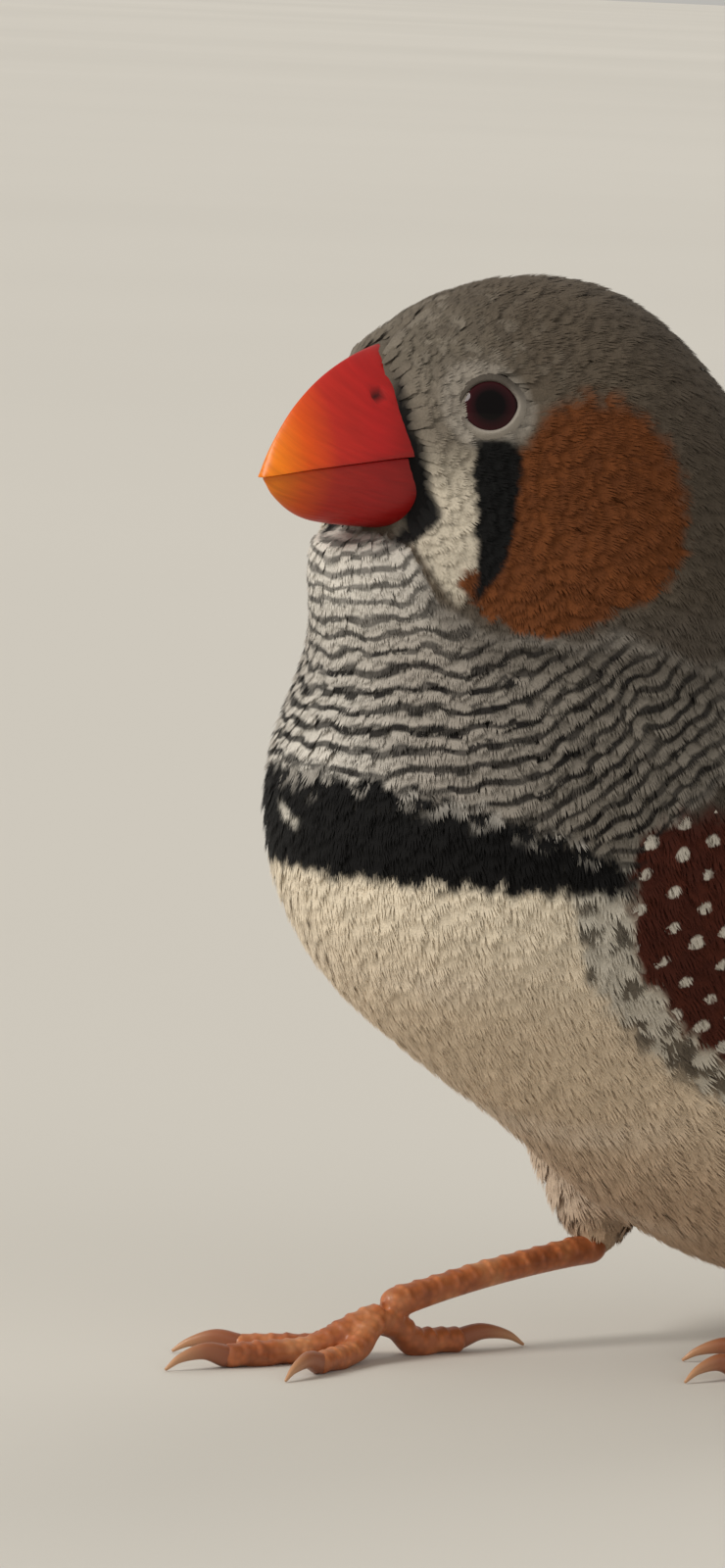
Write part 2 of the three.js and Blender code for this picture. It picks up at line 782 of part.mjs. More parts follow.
let head = between(fineBody, null, HEAD_CUT);
for (const side of [-1, 1]) {
  const eye = eyeSpot(side);
  head = head.add(lidRing(eye)).subtract(ball(eye.centre, EYE.radius + GAP, 2));
}
node("head", largest(head), GREY);
node("neck", between(middleBody, HEAD_CUT, NECK_CUT), BARRED);
node("torso", between(plainBody, NECK_CUT, TAIL_CUT), PALE);
node("tail", tail(between(plainBody, TAIL_CUT, null)), BLACK);

for (const [side, name] of [[1, "left"], [-1, "right"]]) {
  node(`eye_${name}`, ball(eyeSpot(side).centre, EYE.radius, 2), EYE_DARK);
}

let upperBill = billHalf(true).subtract(clearHead);
for (const side of [-1, 1]) {
  upperBill = upperBill.subtract(ball(onHead(NOSTRIL.forward, side * NOSTRIL.side, NOSTRIL.up), NOSTRIL.radius, 1));
}
node("bill_upper", largest(upperBill), RED);
node("bill_lower", largest(billHalf(false).subtract(clearHead)), RED);

const leftWing = wing();
node("wing_left", leftWing, BROWN);
node("wing_right", mirrored(leftWing), BROWN);

for (const leg of LEGS) {
  node(`thigh_${leg.side}`, thigh(leg), PALE);
  node(`tarsus_${leg.side}`, tarsus(leg), ORANGE);
  node(`foot_${leg.side}`, foot(leg), ORANGE);
  for (const toe of TOES) {
    node(`claw_${leg.side}_${toe.name}`, claw(leg, toe), HORN);
  }
}

// The origin goes to the middle of the underside of the whole bird
const box = new THREE.Box3().setFromObject(bird);
const middle = box.getCenter(vec(0, 0, 0));
for (const mesh of bird.children) {
  mesh.geometry.translate(-middle.x, -middle.y, -box.min.z);
}

export default bird;
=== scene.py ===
# %% [markdown]
# # A life-size zebra finch
# This is a small songbird as it stands low on both feet, with its head turned a little to its left. The
# solids from CAD give its size and outline. Here it gets its looks: one skin under a coat of small
# feathers, wings and a tail of real vanes, and a bill, eyes, shanks and claws with surfaces of their own.
# Feathers could be grown as particle hair, but an export keeps only solid mesh, so each one is built from
# arrays of numbers that follow the lie of the coat.

# %% Load the solids
import math
import bmesh
import bpy
import numpy as np
from mathutils import Matrix, Vector
from mathutils.kdtree import KDTree


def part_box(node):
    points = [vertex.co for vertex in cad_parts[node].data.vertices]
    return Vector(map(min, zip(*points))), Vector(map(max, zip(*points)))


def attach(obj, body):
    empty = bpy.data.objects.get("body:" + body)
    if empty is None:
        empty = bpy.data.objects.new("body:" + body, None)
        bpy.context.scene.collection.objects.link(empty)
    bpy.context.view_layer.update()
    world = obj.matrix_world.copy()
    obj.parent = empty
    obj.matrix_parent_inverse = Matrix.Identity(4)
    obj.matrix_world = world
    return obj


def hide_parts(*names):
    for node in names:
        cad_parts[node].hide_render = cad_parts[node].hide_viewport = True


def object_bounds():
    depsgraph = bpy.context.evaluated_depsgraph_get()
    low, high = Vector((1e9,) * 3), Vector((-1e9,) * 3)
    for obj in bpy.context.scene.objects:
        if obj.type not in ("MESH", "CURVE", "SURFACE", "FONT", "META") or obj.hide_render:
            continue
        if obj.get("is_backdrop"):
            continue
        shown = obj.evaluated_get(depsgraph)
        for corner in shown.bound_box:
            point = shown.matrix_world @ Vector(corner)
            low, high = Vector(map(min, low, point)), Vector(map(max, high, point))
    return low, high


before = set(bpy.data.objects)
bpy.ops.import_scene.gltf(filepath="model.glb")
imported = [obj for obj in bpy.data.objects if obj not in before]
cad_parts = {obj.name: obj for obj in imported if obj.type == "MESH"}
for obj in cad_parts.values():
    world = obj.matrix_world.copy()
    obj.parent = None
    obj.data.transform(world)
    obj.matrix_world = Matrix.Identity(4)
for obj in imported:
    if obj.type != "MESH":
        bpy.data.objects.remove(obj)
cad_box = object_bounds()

MM = 0.001
print("CAD box in mm:", [round((high - low) / MM, 2) for low, high in zip(*cad_box)])

# %% [markdown]
# ## Where things are
# Sizes below are in millimetres, from the middle of the bird's breast on the floor: it faces -Y and its
# left is +X. CAD moved the whole bird along Y so that its box is centred. The bill's tip tells by how much,
# so one shift brings every point into the frame.

# %% From the bird's own millimetres to the frame
BILL_TIP_Y = -30.93
shift = np.array([0.0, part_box("bill_upper")[0].y / MM - BILL_TIP_Y, 0.0])


def in_frame(points):
    """Points in the bird's millimetres, as metres in the frame."""
    return (np.asarray(points, float) + shift) * MM


print("the bird sits", round(float(shift[1]), 2), "mm along Y")

# %% [markdown]
# ## Camera
# A long lens flattens a small bird seen from arm's length, and a wide one would swell its bill. This one
# stands 420 mm away, 60 degrees round to the bird's left and a little above its back, with a slight roll.
# A camera could also track a target, but a plain matrix says all of that in three directions.

# %% Camera
AZIMUTH, ELEVATION, ROLL = (math.radians(angle) for angle in (60, 6, 2.5))
DISTANCE = 420
right = np.array([math.cos(AZIMUTH), math.sin(AZIMUTH), 0])
back = np.array([math.sin(AZIMUTH) * math.cos(ELEVATION), -math.cos(AZIMUTH) * math.cos(ELEVATION),
                 math.sin(ELEVATION)])
up = np.cross(back, right)
looked_at = right * -19.5 + up * 29.8
camera_right = right * math.cos(ROLL) + up * math.sin(ROLL)
camera_up = up * math.cos(ROLL) - right * math.sin(ROLL)

lens = bpy.data.cameras.new("portrait lens")
lens.sensor_fit = "VERTICAL"
lens.sensor_height = 36
lens.lens = 179.55
lens.clip_start = 0.01
camera = bpy.data.objects.new("camera", lens)
bpy.context.scene.collection.objects.link(camera)
place = Matrix.Identity(4)
for column, axis in enumerate((camera_right, camera_up, back)):
    for row in range(3):
        place[row][column] = axis[row]
place.translation = Vector(in_frame(looked_at + back * DISTANCE))
camera.matrix_world = place
bpy.context.scene.camera = camera
print("camera at", [round(v / MM) for v in place.translation], "mm")

# %% [markdown]
# ## Colours and nodes
# Colours are written as sRGB hex, as a paint chart gives them, and the shader wants them linear. One
# function turns them. A second one adds a shader node with its settings and links, so that each material
# below reads as a short list. A noise that gets no place of its own runs across its piece's box, so its
# scale is then a number of cells across the piece. Otherwise it is a number of cells in a metre.


# %% Colours
def paint(code):
    """An sRGB hex colour as linear red, green and blue."""
    channels = np.array([int(code[i:i + 2], 16) / 255 for i in (1, 3, 5)])
    return np.where(channels <= 0.04045, channels / 12.92, ((channels + 0.055) / 1.055) ** 2.4)


print("mid grey #808080 is", round(float(paint("#808080")[0]), 3), "in linear light")


# %% Nodes
def add_node(material, kind, settings=None, **links):
    """Adds a shader node. Settings set its attributes or sockets, links join a socket to its source."""
    node = material.node_tree.nodes.new(kind)
    for key, value in (settings or {}).items():
        if isinstance(key, int) or key in node.inputs:
            node.inputs[key].default_value = value
        else:
            setattr(node, key, value)
    for key, source in links.items():
        socket = node.inputs[int(key[1:])] if key[0] == "_" else node.inputs[key.replace("_", " ")]
        material.node_tree.links.new(source, socket)
    return node


def new_material(name):
    material = bpy.data.materials.new(name)
    material.use_nodes = True
    material.node_tree.nodes.clear()
    return material


def surface(material, settings, **links):
    """The shader that ends a material."""
    shader = add_node(material, "ShaderNodeBsdfPrincipled", settings, **links)
    add_node(material, "ShaderNodeOutputMaterial", Surface=shader.outputs["BSDF"])
    return material


def ramp(material, source, stops, mode="LINEAR"):
    """A colour ramp with its stops, as pairs of place and linear colour."""
    node = add_node(material, "ShaderNodeValToRGB", None, Fac=source)
    node.color_ramp.interpolation = mode
    while len(node.color_ramp.elements) < len(stops):
        node.color_ramp.elements.new(1.0)
    for element, (at, colour) in zip(node.color_ramp.elements, stops):
        element.position = at
        element.color = (*colour, 1)
    return node.outputs["Color"]


print("a material is a short list of add_node, ramp and surface")

# %% [markdown]
# ## Meshes from arrays
# A coat has about a million small faces. Blender's edit tools would take minutes over them, so one helper
# hands whole arrays of corners, faces and colours to a new mesh at once.

# %% A mesh from arrays
def build(name, points, faces, material, layers=None, bake=None):
    """A mesh object from points, faces (all of one size in each array) and layers of values."""
    mesh = bpy.data.meshes.new(name)
    points = np.asarray(in_frame(points), np.float32)
    blocks = [np.asarray(block) for block in (faces if isinstance(faces, list) else [faces]) if len(block)]
    loops = np.concatenate([block.ravel() for block in blocks]).astype(np.int32)
    sizes = np.concatenate([np.full(len(block), block.shape[1]) for block in blocks])
    mesh.vertices.add(len(points))
    mesh.vertices.foreach_set("co", points.ravel())
    mesh.loops.add(len(loops))
    mesh.loops.foreach_set("vertex_index", loops)
    mesh.polygons.add(len(sizes))
    mesh.polygons.foreach_set("loop_start", np.concatenate([[0], np.cumsum(sizes)[:-1]]).astype(np.int32))
    mesh.update(calc_edges=True)
    mesh.polygons.foreach_set("use_smooth", np.full(len(sizes), True))
    for key, values in (layers or {}).items():
        values = np.asarray(values, np.float32)
        if values.shape[1] == 4:
            held = mesh.color_attributes.new(key, "FLOAT_COLOR", "POINT")
            held.data.foreach_set("color", values.ravel())
        else:
            held = mesh.attributes.new(key, "FLOAT_VECTOR", "POINT")
            held.data.foreach_set("vector", values.ravel())
    if bake is not None:
        flat = mesh.uv_layers.new(name="OFBake")
        flat.data.foreach_set("uv", np.asarray(bake, np.float32)[loops].ravel())
    mesh.materials.append(material)
    piece = bpy.data.objects.new(name, mesh)
    bpy.context.scene.collection.objects.link(piece)
    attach(piece, "root")
    return piece


def triangles_in(piece):
    return sum(len(polygon.vertices) - 2 for polygon in piece.data.polygons)


# %% Faces of a grid
def grid_faces(rows, columns, closed=False):
    """Quads of a grid of points, closed round its columns if asked."""
    row = np.arange(rows - 1)[:, None] * columns
    column = np.arange(columns if closed else columns - 1)[None, :]
    after = (column + 1) % columns
    corners = [row + column, row + after, row + columns + after, row + columns + column]
    return np.stack(corners, -1).reshape(-1, 4)


print("a grid of 3 by 3 points has", len(grid_faces(3, 3)), "quads")

# %% [markdown]
# ## The body's form
# Under its feathers a bird is a run of rounded masses that flow into each other. Each mass is an ellipsoid
# and their distances are joined with a soft minimum, as clay is pressed together. The solids have these same
# masses, so skin and coat fit inside them. Sculpting by hand would lose that fit.

# %% Masses of the trunk and head
BODY_FORMS = [
    {"at": (0.4, -13.0, 49.6), "radii": (7.4, 8.6, 8.1), "yaw": 8},  # skull
    {"at": (1.1, -18.6, 50.1), "radii": (5.2, 6.2, 6.0), "yaw": 8, "blend": 4},  # face
    {"at": (0.7, -19.5, 43.0), "radii": (5.3, 6.7, 5.3), "yaw": 8, "blend": 3.5},  # throat
    {"at": (0.2, -8.8, 42.2), "radii": (9.8, 11.6, 10.4), "pitch": 20},  # neck
    {"at": (0, -12.0, 30), "radii": (13.0, 14.8, 14)},  # breast
    {"at": (0, 1, 20.8), "radii": (12.9, 23, 14.6), "pitch": 34},  # belly
    {"at": (0, 21, 17.8), "radii": (9.6, 17, 8.8), "pitch": 16},  # rump
    {"at": (0, 33, 14.9), "radii": (4.6, 10, 3.6), "pitch": 12},  # tail root
]
print("the trunk and head have", len(BODY_FORMS), "masses")


# %% Distance to the masses
def turned(pitch, yaw):
    """The turn of a form, as a matrix."""
    c, s = math.cos(math.radians(yaw)), math.sin(math.radians(yaw))
    d, t = math.cos(math.radians(-pitch)), math.sin(math.radians(-pitch))
    return np.array([[c, -s, 0], [s, c, 0], [0, 0, 1]]) @ np.array([[1, 0, 0], [0, d, -t], [0, t, d]])


def rounded(points, form):
    """How far points lie outside one rounded form."""
    local = (points - np.array(form["at"])) @ turned(form.get("pitch", 0), form.get("yaw", 0))
    radii = np.array(form["radii"])
    near = np.linalg.norm(local / radii, axis=1)
    steep = np.linalg.norm(local / radii ** 2, axis=1)
    return near * (near - 1) / np.maximum(steep, 1e-6)


def pressed(one, other, blend):
    """The soft minimum of two distances."""
    overlap = np.maximum(blend - np.abs(one - other), 0) / blend
    return np.minimum(one, other) - overlap ** 2 * blend / 4


def flowing(points, forms, blend):
    total = rounded(points, forms[0])
    for form in forms[1:]:
        total = pressed(total, rounded(points, form), form.get("blend", blend))
    return total


crown_height = flowing(np.array([[0.4, -13, 60.0]]), BODY_FORMS, 6)[0]
print("a point 60 mm up is", round(float(crown_height), 2), "mm over the crown")

# %% [markdown]
# ## Thighs and mantle
# Feathered thighs taper to the heel, where the bare shank comes out, so each is a row of shrinking masses.
# The right foot is a step ahead of the left. Loose feathers of the mantle fill the hollow of the nape.

# %% Thighs and mantle
LEGS = {
    "left": {"hip": (8.8, 11.5, 12.5), "heel": (7.4, 19.8, 5.6), "ankle": (4.6, 7.2, 2.7), "heading": 10},
    "right": {"hip": (-7.4, -2.0, 13.2), "heel": (-5.6, -3.4, 5.1), "ankle": (-4.2, -17.6, 2.7),
              "heading": 4},
}
THIGH = 5.2
MANTLE = {"at": (0, 1.5, 36.3), "radii": (7.5, 7, 5)}


def thigh_forms(leg):
    hip, heel = np.array(leg["hip"]), np.array(leg["heel"])
    forms = []
    for t in (0, 0.3, 0.6, 0.85, 1):
        r = THIGH + (0.5 - THIGH) * t ** 0.8
        forms.append({"at": tuple(hip + (heel - hip) * t), "radii": (r * (0.75 + 0.25 * t), r, r)})
    return forms


def body(points):
    """How far points lie outside the plumage's outer surface, in mm."""
    total = pressed(flowing(points, BODY_FORMS, 6), rounded(points, MANTLE), 4)
    for leg in LEGS.values():
        total = pressed(total, flowing(points, thigh_forms(leg), 3), 1.5)
    return total


def slope(field, points, step=0.05):
    """The direction in which a field grows, of unit length, and how fast."""
    grown = np.stack([field(points + step * axis) - field(points - step * axis) for axis in np.eye(3)], -1)
    grown /= 2 * step
    size = np.maximum(np.linalg.norm(grown, axis=1, keepdims=True), 1e-6)
    return grown / size, size[:, 0]


print("each thigh has", len(thigh_forms(LEGS["left"])), "masses")

# %% [markdown]
# ## The head's own directions
# The head is turned 8 degrees to its left. Distances ahead of its centre, to its left and over it turn with
# it, and every mark and part of the face is placed by them.

# %% Head directions
HEAD_CENTRE = np.array([0.4, -13.6, 49.5])
HEAD_YAW = math.radians(8)


def head_axes(points):
    """Points as distances ahead of, left of and over the head's centre."""
    away = points - HEAD_CENTRE
    ahead = away[:, 0] * math.sin(HEAD_YAW) - away[:, 1] * math.cos(HEAD_YAW)
    leftward = away[:, 0] * math.cos(HEAD_YAW) + away[:, 1] * math.sin(HEAD_YAW)
    return ahead, leftward, away[:, 2]


def on_head(ahead, leftward, over):
    return HEAD_CENTRE + np.array([
        ahead * math.sin(HEAD_YAW) + leftward * math.cos(HEAD_YAW),
        -ahead * math.cos(HEAD_YAW) + leftward * math.sin(HEAD_YAW),
        over])


print("the bill's tip is near", on_head(17.5, 0, -2.1).round(1))

# %% [markdown]
# ## Depth of the coat
# Skin lies below the feather tips: a third of a millimetre down on the face, where feathers are tiny, and
# nearly a millimetre on the breast and belly. Round the bill it swells to a thin collar that holds the
# bill's base, and behind the gape it sinks a little, so that the lower half's corner stays free.


# %% Coat depth
def rise_between(values, low, high):
    """0 below low, 1 above high and a smooth rise between them."""
    t = np.clip((values - low) / (high - low), 0, 1)
    return t * t * (3 - 2 * t)


def coat_depth(points):
    ahead = head_axes(points)[0]
    depth = 0.32 + 0.2 * rise_between(-ahead, -9, -3)
    depth += 0.36 * rise_between(-points[:, 2], -44, -34)
    return depth - 0.25 * rise_between(-points[:, 2], -10, -6) * (np.abs(points[:, 0]) > 2)


print("coat on the breast", coat_depth(np.array([[0, -26.0, 30]])).round(2), "mm deep")

# %% Skin level
BILL_BASE = [
    {"at": on_head(8.2, 0, 0.3), "radii": (4.35, 3.5, 4.9), "yaw": 8},
    {"at": on_head(9.0, 0, 3.2), "radii": (1.9, 2.7, 1.25), "yaw": 8},
]


def skin_level(points):
    """How far points lie outside the skin."""
    ahead, _, over = head_axes(points)
    gape = rise_between(ahead, 9.2, 10.6) * rise_between(-over, 1.8, 3.2) * rise_between(over, -6.0, -5.0)
    trunk = body(points) + coat_depth(points) + 0.9 * gape
    return pressed(trunk, flowing(points, BILL_BASE, 1), 0.8)


def settle(points, field, rounds=3):
    """Moves points onto the surface where a field is zero."""
    for _ in range(rounds):
        way, size = slope(field, points)
        points = points - way * np.clip(field(points) / size, -1.2, 1.2)[:, None]
    return points


breast = settle(np.array([[0, -27.0, 30]]), skin_level)
print("skin of the breast at", breast.round(2))

# %% [markdown]
# ## One skin
# The real skin runs from the bill to the tail without a seam. Ellipsoids for the masses are joined with a
# voxel remesh, which fuses them into one closed net of even faces, and each corner then settles below the
# coat. Subdividing a low cage by hand would also do, but would not match the solids as closely.

# %% Rough body
rough = bmesh.new()
for form in BODY_FORMS + [f for leg in LEGS.values() for f in thigh_forms(leg)]:
    turn = Matrix(turned(form.get("pitch", 0), form.get("yaw", 0)).tolist()).to_4x4()
    size = Matrix.Diagonal((*form["radii"], 1))
    bmesh.ops.create_icosphere(rough, subdivisions=4, radius=1,
                               matrix=Matrix.Translation(form["at"]) @ turn @ size)
rough_mesh = bpy.data.meshes.new("rough")
rough.to_mesh(rough_mesh)
rough.free()
rough_body = bpy.data.objects.new("rough", rough_mesh)
bpy.context.scene.collection.objects.link(rough_body)
remesh = rough_body.modifiers.new("one net", "REMESH")
remesh.mode = "VOXEL"
remesh.voxel_size = 0.55
print("rough body fused at", remesh.voxel_size, "mm")


# %% Skin mesh
def arrays_of(piece):
    """Corner points and quads of a piece after its modifiers."""
    shown = piece.evaluated_get(bpy.context.evaluated_depsgraph_get()).to_mesh()
    points = np.zeros(len(shown.vertices) * 3)
    shown.vertices.foreach_get("co", points)
    faces = [list(polygon.vertices) for polygon in shown.polygons]
    quads = np.array([face for face in faces if len(face) == 4])
    piece.evaluated_get(bpy.context.evaluated_depsgraph_get()).to_mesh_clear()
    return points.reshape(-1, 3), quads


skin_points, skin_quads = arrays_of(rough_body)
bpy.data.objects.remove(rough_body)
skin_points = settle(skin_points, skin_level, 7)
print("skin:", len(skin_points), "corners,", len(skin_quads), "quads")

# %% [markdown]
# ## Lie of the coat
# Feathers point away from the bill: over the crown, down the throat and breast, back along the belly and
# down each thigh. A line of points runs through the body, and every spot of skin takes the direction of the
# nearest stretch of it, laid flat on the skin. Three places have a direction of their own: thighs, the front
# of the throat and breast, and the face. Combing by hand would give the same picture with far more work.

# %% Line through the body
MIDLINE = np.array([
    (1.7, -23.5, 49.0), (0.9, -17.5, 49.4), (0.4, -12.5, 47.5), (0.2, -9.0, 41.5), (0, -8.0, 34.0),
    (0, -4.0, 26.0), (0, 5, 21.5), (0, 17, 18.5), (0, 30, 15.7), (0, 44, 12.6)])


def polyline(knots, count):
    """Evenly spaced points along a smooth line through knots."""
    knots = np.asarray(knots, float)
    padded = np.vstack([2 * knots[0] - knots[1], knots, 2 * knots[-1] - knots[-2]])
    line = []
    for i in range(1, len(padded) - 2):
        a, b, c, d = padded[i - 1:i + 3]
        for t in np.linspace(0, 1, 24, endpoint=False):
            line.append(0.5 * (2 * b + (c - a) * t + (2 * a - 5 * b + 4 * c - d) * t ** 2
                               + (3 * b - a - 3 * c + d) * t ** 3))
    line = np.array(line + [knots[-1]])
    far = np.concatenate([[0], np.cumsum(np.linalg.norm(np.diff(line, axis=0), axis=1))])
    even = np.linspace(0, far[-1], count)
    return np.stack([np.interp(even, far, line[:, n]) for n in range(3)], -1)


midline = polyline(MIDLINE, 90)
midline_way = np.gradient(midline, axis=0)
midline_way /= np.linalg.norm(midline_way, axis=1, keepdims=True)
print("the line has", len(midline), "points")


# %% Lie of the coat
def unit(vectors):
    return vectors / np.maximum(np.linalg.norm(vectors, axis=-1, keepdims=True), 1e-9)


def lie(points, normals):
    """The direction of the feathers at points of the skin."""
    way = np.zeros_like(points)
    for part in np.array_split(np.arange(len(points)), max(1, len(points) // 20000)):
        gap = ((points[part, None] - midline[None]) ** 2).sum(-1)
        weight = np.exp(-(gap - gap.min(1, keepdims=True)) / 18)
        way[part] = (weight[..., None] * midline_way).sum(1)
    for leg in LEGS.values():
        hip, heel = np.array(leg["hip"]), np.array(leg["heel"])
        axis = heel - hip
        t = np.clip((points - hip) @ axis / (axis @ axis), 0, 1.2)
        near = np.linalg.norm(points - hip - t[:, None] * axis, axis=1)
        on_thigh = rise_between(-near, -5.2, -3.6) * rise_between(t, 0.2, 0.6)
        way = way * (1 - on_thigh[:, None]) + on_thigh[:, None] * axis / np.linalg.norm(axis)
    ahead, _, over = head_axes(points)
    in_front = (rise_between(-points[:, 1], 13, 19) * rise_between(-over, 3.5, 6.5)
                * rise_between(points[:, 2], 26, 31))[:, None]
    way = unit(way) * (1 - in_front) + np.array([0, 0.2, -1.0]) * in_front
    from_bill = unit(points - on_head(12.5, 0, -0.5))
    at_face = rise_between(ahead, 3, 9)[:, None] * rise_between(over, -9, -5)[:, None]
    way = way * (1 - at_face) + from_bill * at_face
    return unit(way - normals * (way * normals).sum(1, keepdims=True))


print("feathers at the crown point", lie(np.array([[0.5, -13, 57.6]]), np.array([[0, 0, 1.0]])).round(2))

# %% [markdown]
# ## Markings
# The male has a grey crown, a chestnut-orange cheek, a black tear stripe behind a whitish one, fine dark
# bars on throat and breast, a black breast band, a buff-white belly and white-spotted chestnut flanks.
# A painted image could hold them, but functions of place do it better here: skin and coat both ask them, so
# they always agree. They give a colour, and a pattern of three numbers that the material draws sharply: how
# far along the bars a point is, how strong the bars are, and how far away the nearest flank spot is.


# %% Wavering lines and layers of colour
def waver(points, length, seed):
    """Smooth noise from -1 to 1 with features about `length` mm long."""
    pick = np.random.default_rng(seed)
    total = np.zeros(len(points))
    for _ in range(6):
        way = unit(pick.normal(size=3))
        pace = 2 * math.pi / (length * pick.uniform(0.7, 1.5))
        total += np.sin(points @ way * pace + pick.uniform(0, 6.3))
    return np.clip(total / 3.2, -1, 1)


def layer(colours, mask, code):
    """Paints a colour over others where the mask says."""
    mask = np.clip(mask, 0, 1)[..., None]
    return colours * (1 - mask) + paint(code) * mask


def blend(colours, over, mask):
    """Paints colours over others where the mask says."""
    mask = np.clip(mask, 0, 1)[..., None]
    return colours * (1 - mask) + over * mask


print("noise over 5 mm at the breast:", waver(np.array([[0, -26.0, 30]]), 5, 3).round(2))

# %% [markdown]
# ## Back and belly
# A border on the body is a list of pairs: how far back a place is, and how high the border runs there. The
# back is grey-brown. The belly is buff-white and deeper buff low down, partly its real buff and partly
# painted shade of the underside. Each feather has a number from 0 to 1 of its own, which shifts its tone a
# little.

# %% Back and belly
BAR_TOP = [(-26, 46.0), (-23.5, 44.6), (-22.2, 41.6), (-20.5, 39.8), (-17.6, 39.2), (-13.6, 39.6),
           (-8, 38.2), (-4, 37)]
BAR_LOW = [(-14, 27.5), (-11, 31.0), (-8, 33.0), (-3, 36)]
FLANK_LOW = [(-14.5, 27.5), (-13.4, 24.8), (-12.4, 22.4), (-9, 19.2), (-6.8, 17.6), (0, 14.0), (8, 12.4),
             (16, 12.4), (24, 13.4), (29, 15)]
FLANK_TOP = [(-14.5, 28.0), (-13, 30.0), (-11, 31.0), (-7, 31.5), (0, 28), (10, 23.5), (20, 19.4), (29, 16)]


def level_at(knots, y):
    """Straight lines through knots, read at y."""
    return np.interp(y, [knot[0] for knot in knots], [knot[1] for knot in knots])


def back_and_belly(points, each):
    _, y, z = points.T
    back = np.tile(paint("#4c443b"), (len(points), 1))
    back = layer(back, rise_between(each, 0.2, 1) * 0.25, "#5b5248")
    belly = np.tile(paint("#dacdb7"), (len(points), 1))
    # painted shade: the lower belly darkens towards the floor, partly its real buff
    belly = layer(belly, rise_between(-z, -27, -17) * 0.65, "#c2aa8e")
    belly = layer(belly, rise_between(-z, -17, -8) * 0.65, "#9c7d63")
    belly = layer(belly, rise_between(waver(points, 7, 9), 0.2, 1) * 0.25, "#e8dccd")
    border = np.where(y < -13, 29.5, level_at(FLANK_LOW, y) + 0.6)
    return blend(back, belly, rise_between(border - z, -0.5, 0.6))


print("the flank's lower border runs", level_at(FLANK_LOW, 8), "mm over the floor at the thigh")

# %% [markdown]
# ## Bars of throat and breast
# Each feather here is pale with a fine black bar across it, and the bars of neighbours join into wavy lines,
# about a millimetre apart on the breast and closer on the throat. The ground is whitest in front and darker
# grey towards the shoulder. The lines climb towards the back of the neck and curve round under the bill.

# %% Ground of the bars
BAR_GAP, THROAT_GAP = 0.98, 0.72


def from_front(y):
    """0 at the front of the breast and 1 where the band ends at the flank."""
    return np.clip((y + 26.2) / 12.7, 0, 1.05)


def bar_ground(colours, points, bend):
    _, y, z = points.T
    top = level_at(BAR_TOP, y) + 0.5 * bend
    low = np.where(y < -13.4, 29.3 - 2.4 * from_front(y), level_at(BAR_LOW, y))
    barred = rise_between(top - z, -0.5, 0.9) * rise_between(z - low, -0.6, 0.6) * rise_between(-y, 4, 9)
    below_throat = rise_between(-z, -42, -38)
    by_nape = rise_between(z - top, -3, -0.3) * rise_between(-z, -43, -41)
    colours = layer(colours, barred, "#a49c92")
    colours = layer(colours, barred * rise_between(z, 38, 42) * 0.45, "#cbc6bd")
    colours = layer(colours, barred * rise_between(-y, 23, 27) * 0.75, "#dad5cb")
    colours = layer(colours, barred * rise_between(y, -28, -15) * below_throat * 0.85, "#665f55")
    return layer(colours, barred * by_nape * 0.7, "#4e473f"), barred


print("the breast's front is", from_front(-26.2), "and the band's end is", from_front(-13.5))


# %% Run of the bars
def bar_pattern(points, each, bend, barred, band):
    """How far along the bars points are, counted in bars, and how black the bars are."""
    _, y, z = points.T
    strength = barred * (0.78 + 0.22 * rise_between(-z, -42, -37)) * (1 - band)
    strength *= (0.72 + 0.28 * ((each * 3.1) % 1)) * rise_between(-y, 5, 10)
    climb = 0.42 * np.maximum(y + 21.5, 0) + 0.06 * (y + 21.5) * (y < -21.5) + 0.25 * np.maximum(y + 18, 0)
    chin = on_head(11, 0, -4.5)
    round_bill = chin[2] - np.linalg.norm((points - chin) * (0.6, 0.55, 1), axis=1)
    on_throat = rise_between(z, 37, 42) * rise_between(-y, 18.5, 22.5)
    height = (z - climb) * (1 - on_throat) + round_bill * on_throat + 0.3 * bend
    height += 0.2 * waver(points, 2.2, 5)
    closer = np.maximum(height - 38, 0) * (1 / THROAT_GAP - 1 / BAR_GAP)
    return height / BAR_GAP + closer + 0.3 * (each - 0.5), strength


print("bars every", BAR_GAP, "mm on the breast and", THROAT_GAP, "mm on the throat")

# %% [markdown]
# ## Flanks
# A chestnut patch with a round white spot near the tip of each feather. In front of it runs a narrow mottled
# strip where flank, band and belly feathers mix. The spots stand in staggered rows, each a little off its
# place and drawn out to a drop, and only their distance is given here: the material cuts them out sharply.

# %% Flanks
SPOT_GAP, SPOT_ROWS = 2.3, 1.75


def flank_colours(colours, points, each, ragged):
    _, y, z = points.T
    uneven = ragged * 0.8
    flank = rise_between(z - level_at(FLANK_LOW, y) + uneven, -0.3, 0.5)
    flank *= rise_between(level_at(FLANK_TOP, y) - z + uneven, -0.4, 0.6)
    flank *= rise_between(y + ragged, -14.2, -13.2) * rise_between(-y, -30, -27)
    edge = rise_between(z - level_at(FLANK_LOW, y + 2.6) + ragged, -0.9, 0.2) * (1 - flank)
    edge *= rise_between(y, -17.8, -16) * rise_between(-y, -4, 4) * rise_between(-z, -29, -27.4)
    mottled = np.where((each[:, None] * 7.3) % 1 > 0.68, paint("#2a2521"), paint("#b0aa9e"))
    colours = blend(colours, mottled, edge * 0.85)
    colours = layer(colours, flank, "#3f190e")
    return layer(colours, flank * rise_between(each, 0.4, 1) * 0.35, "#562616"), flank


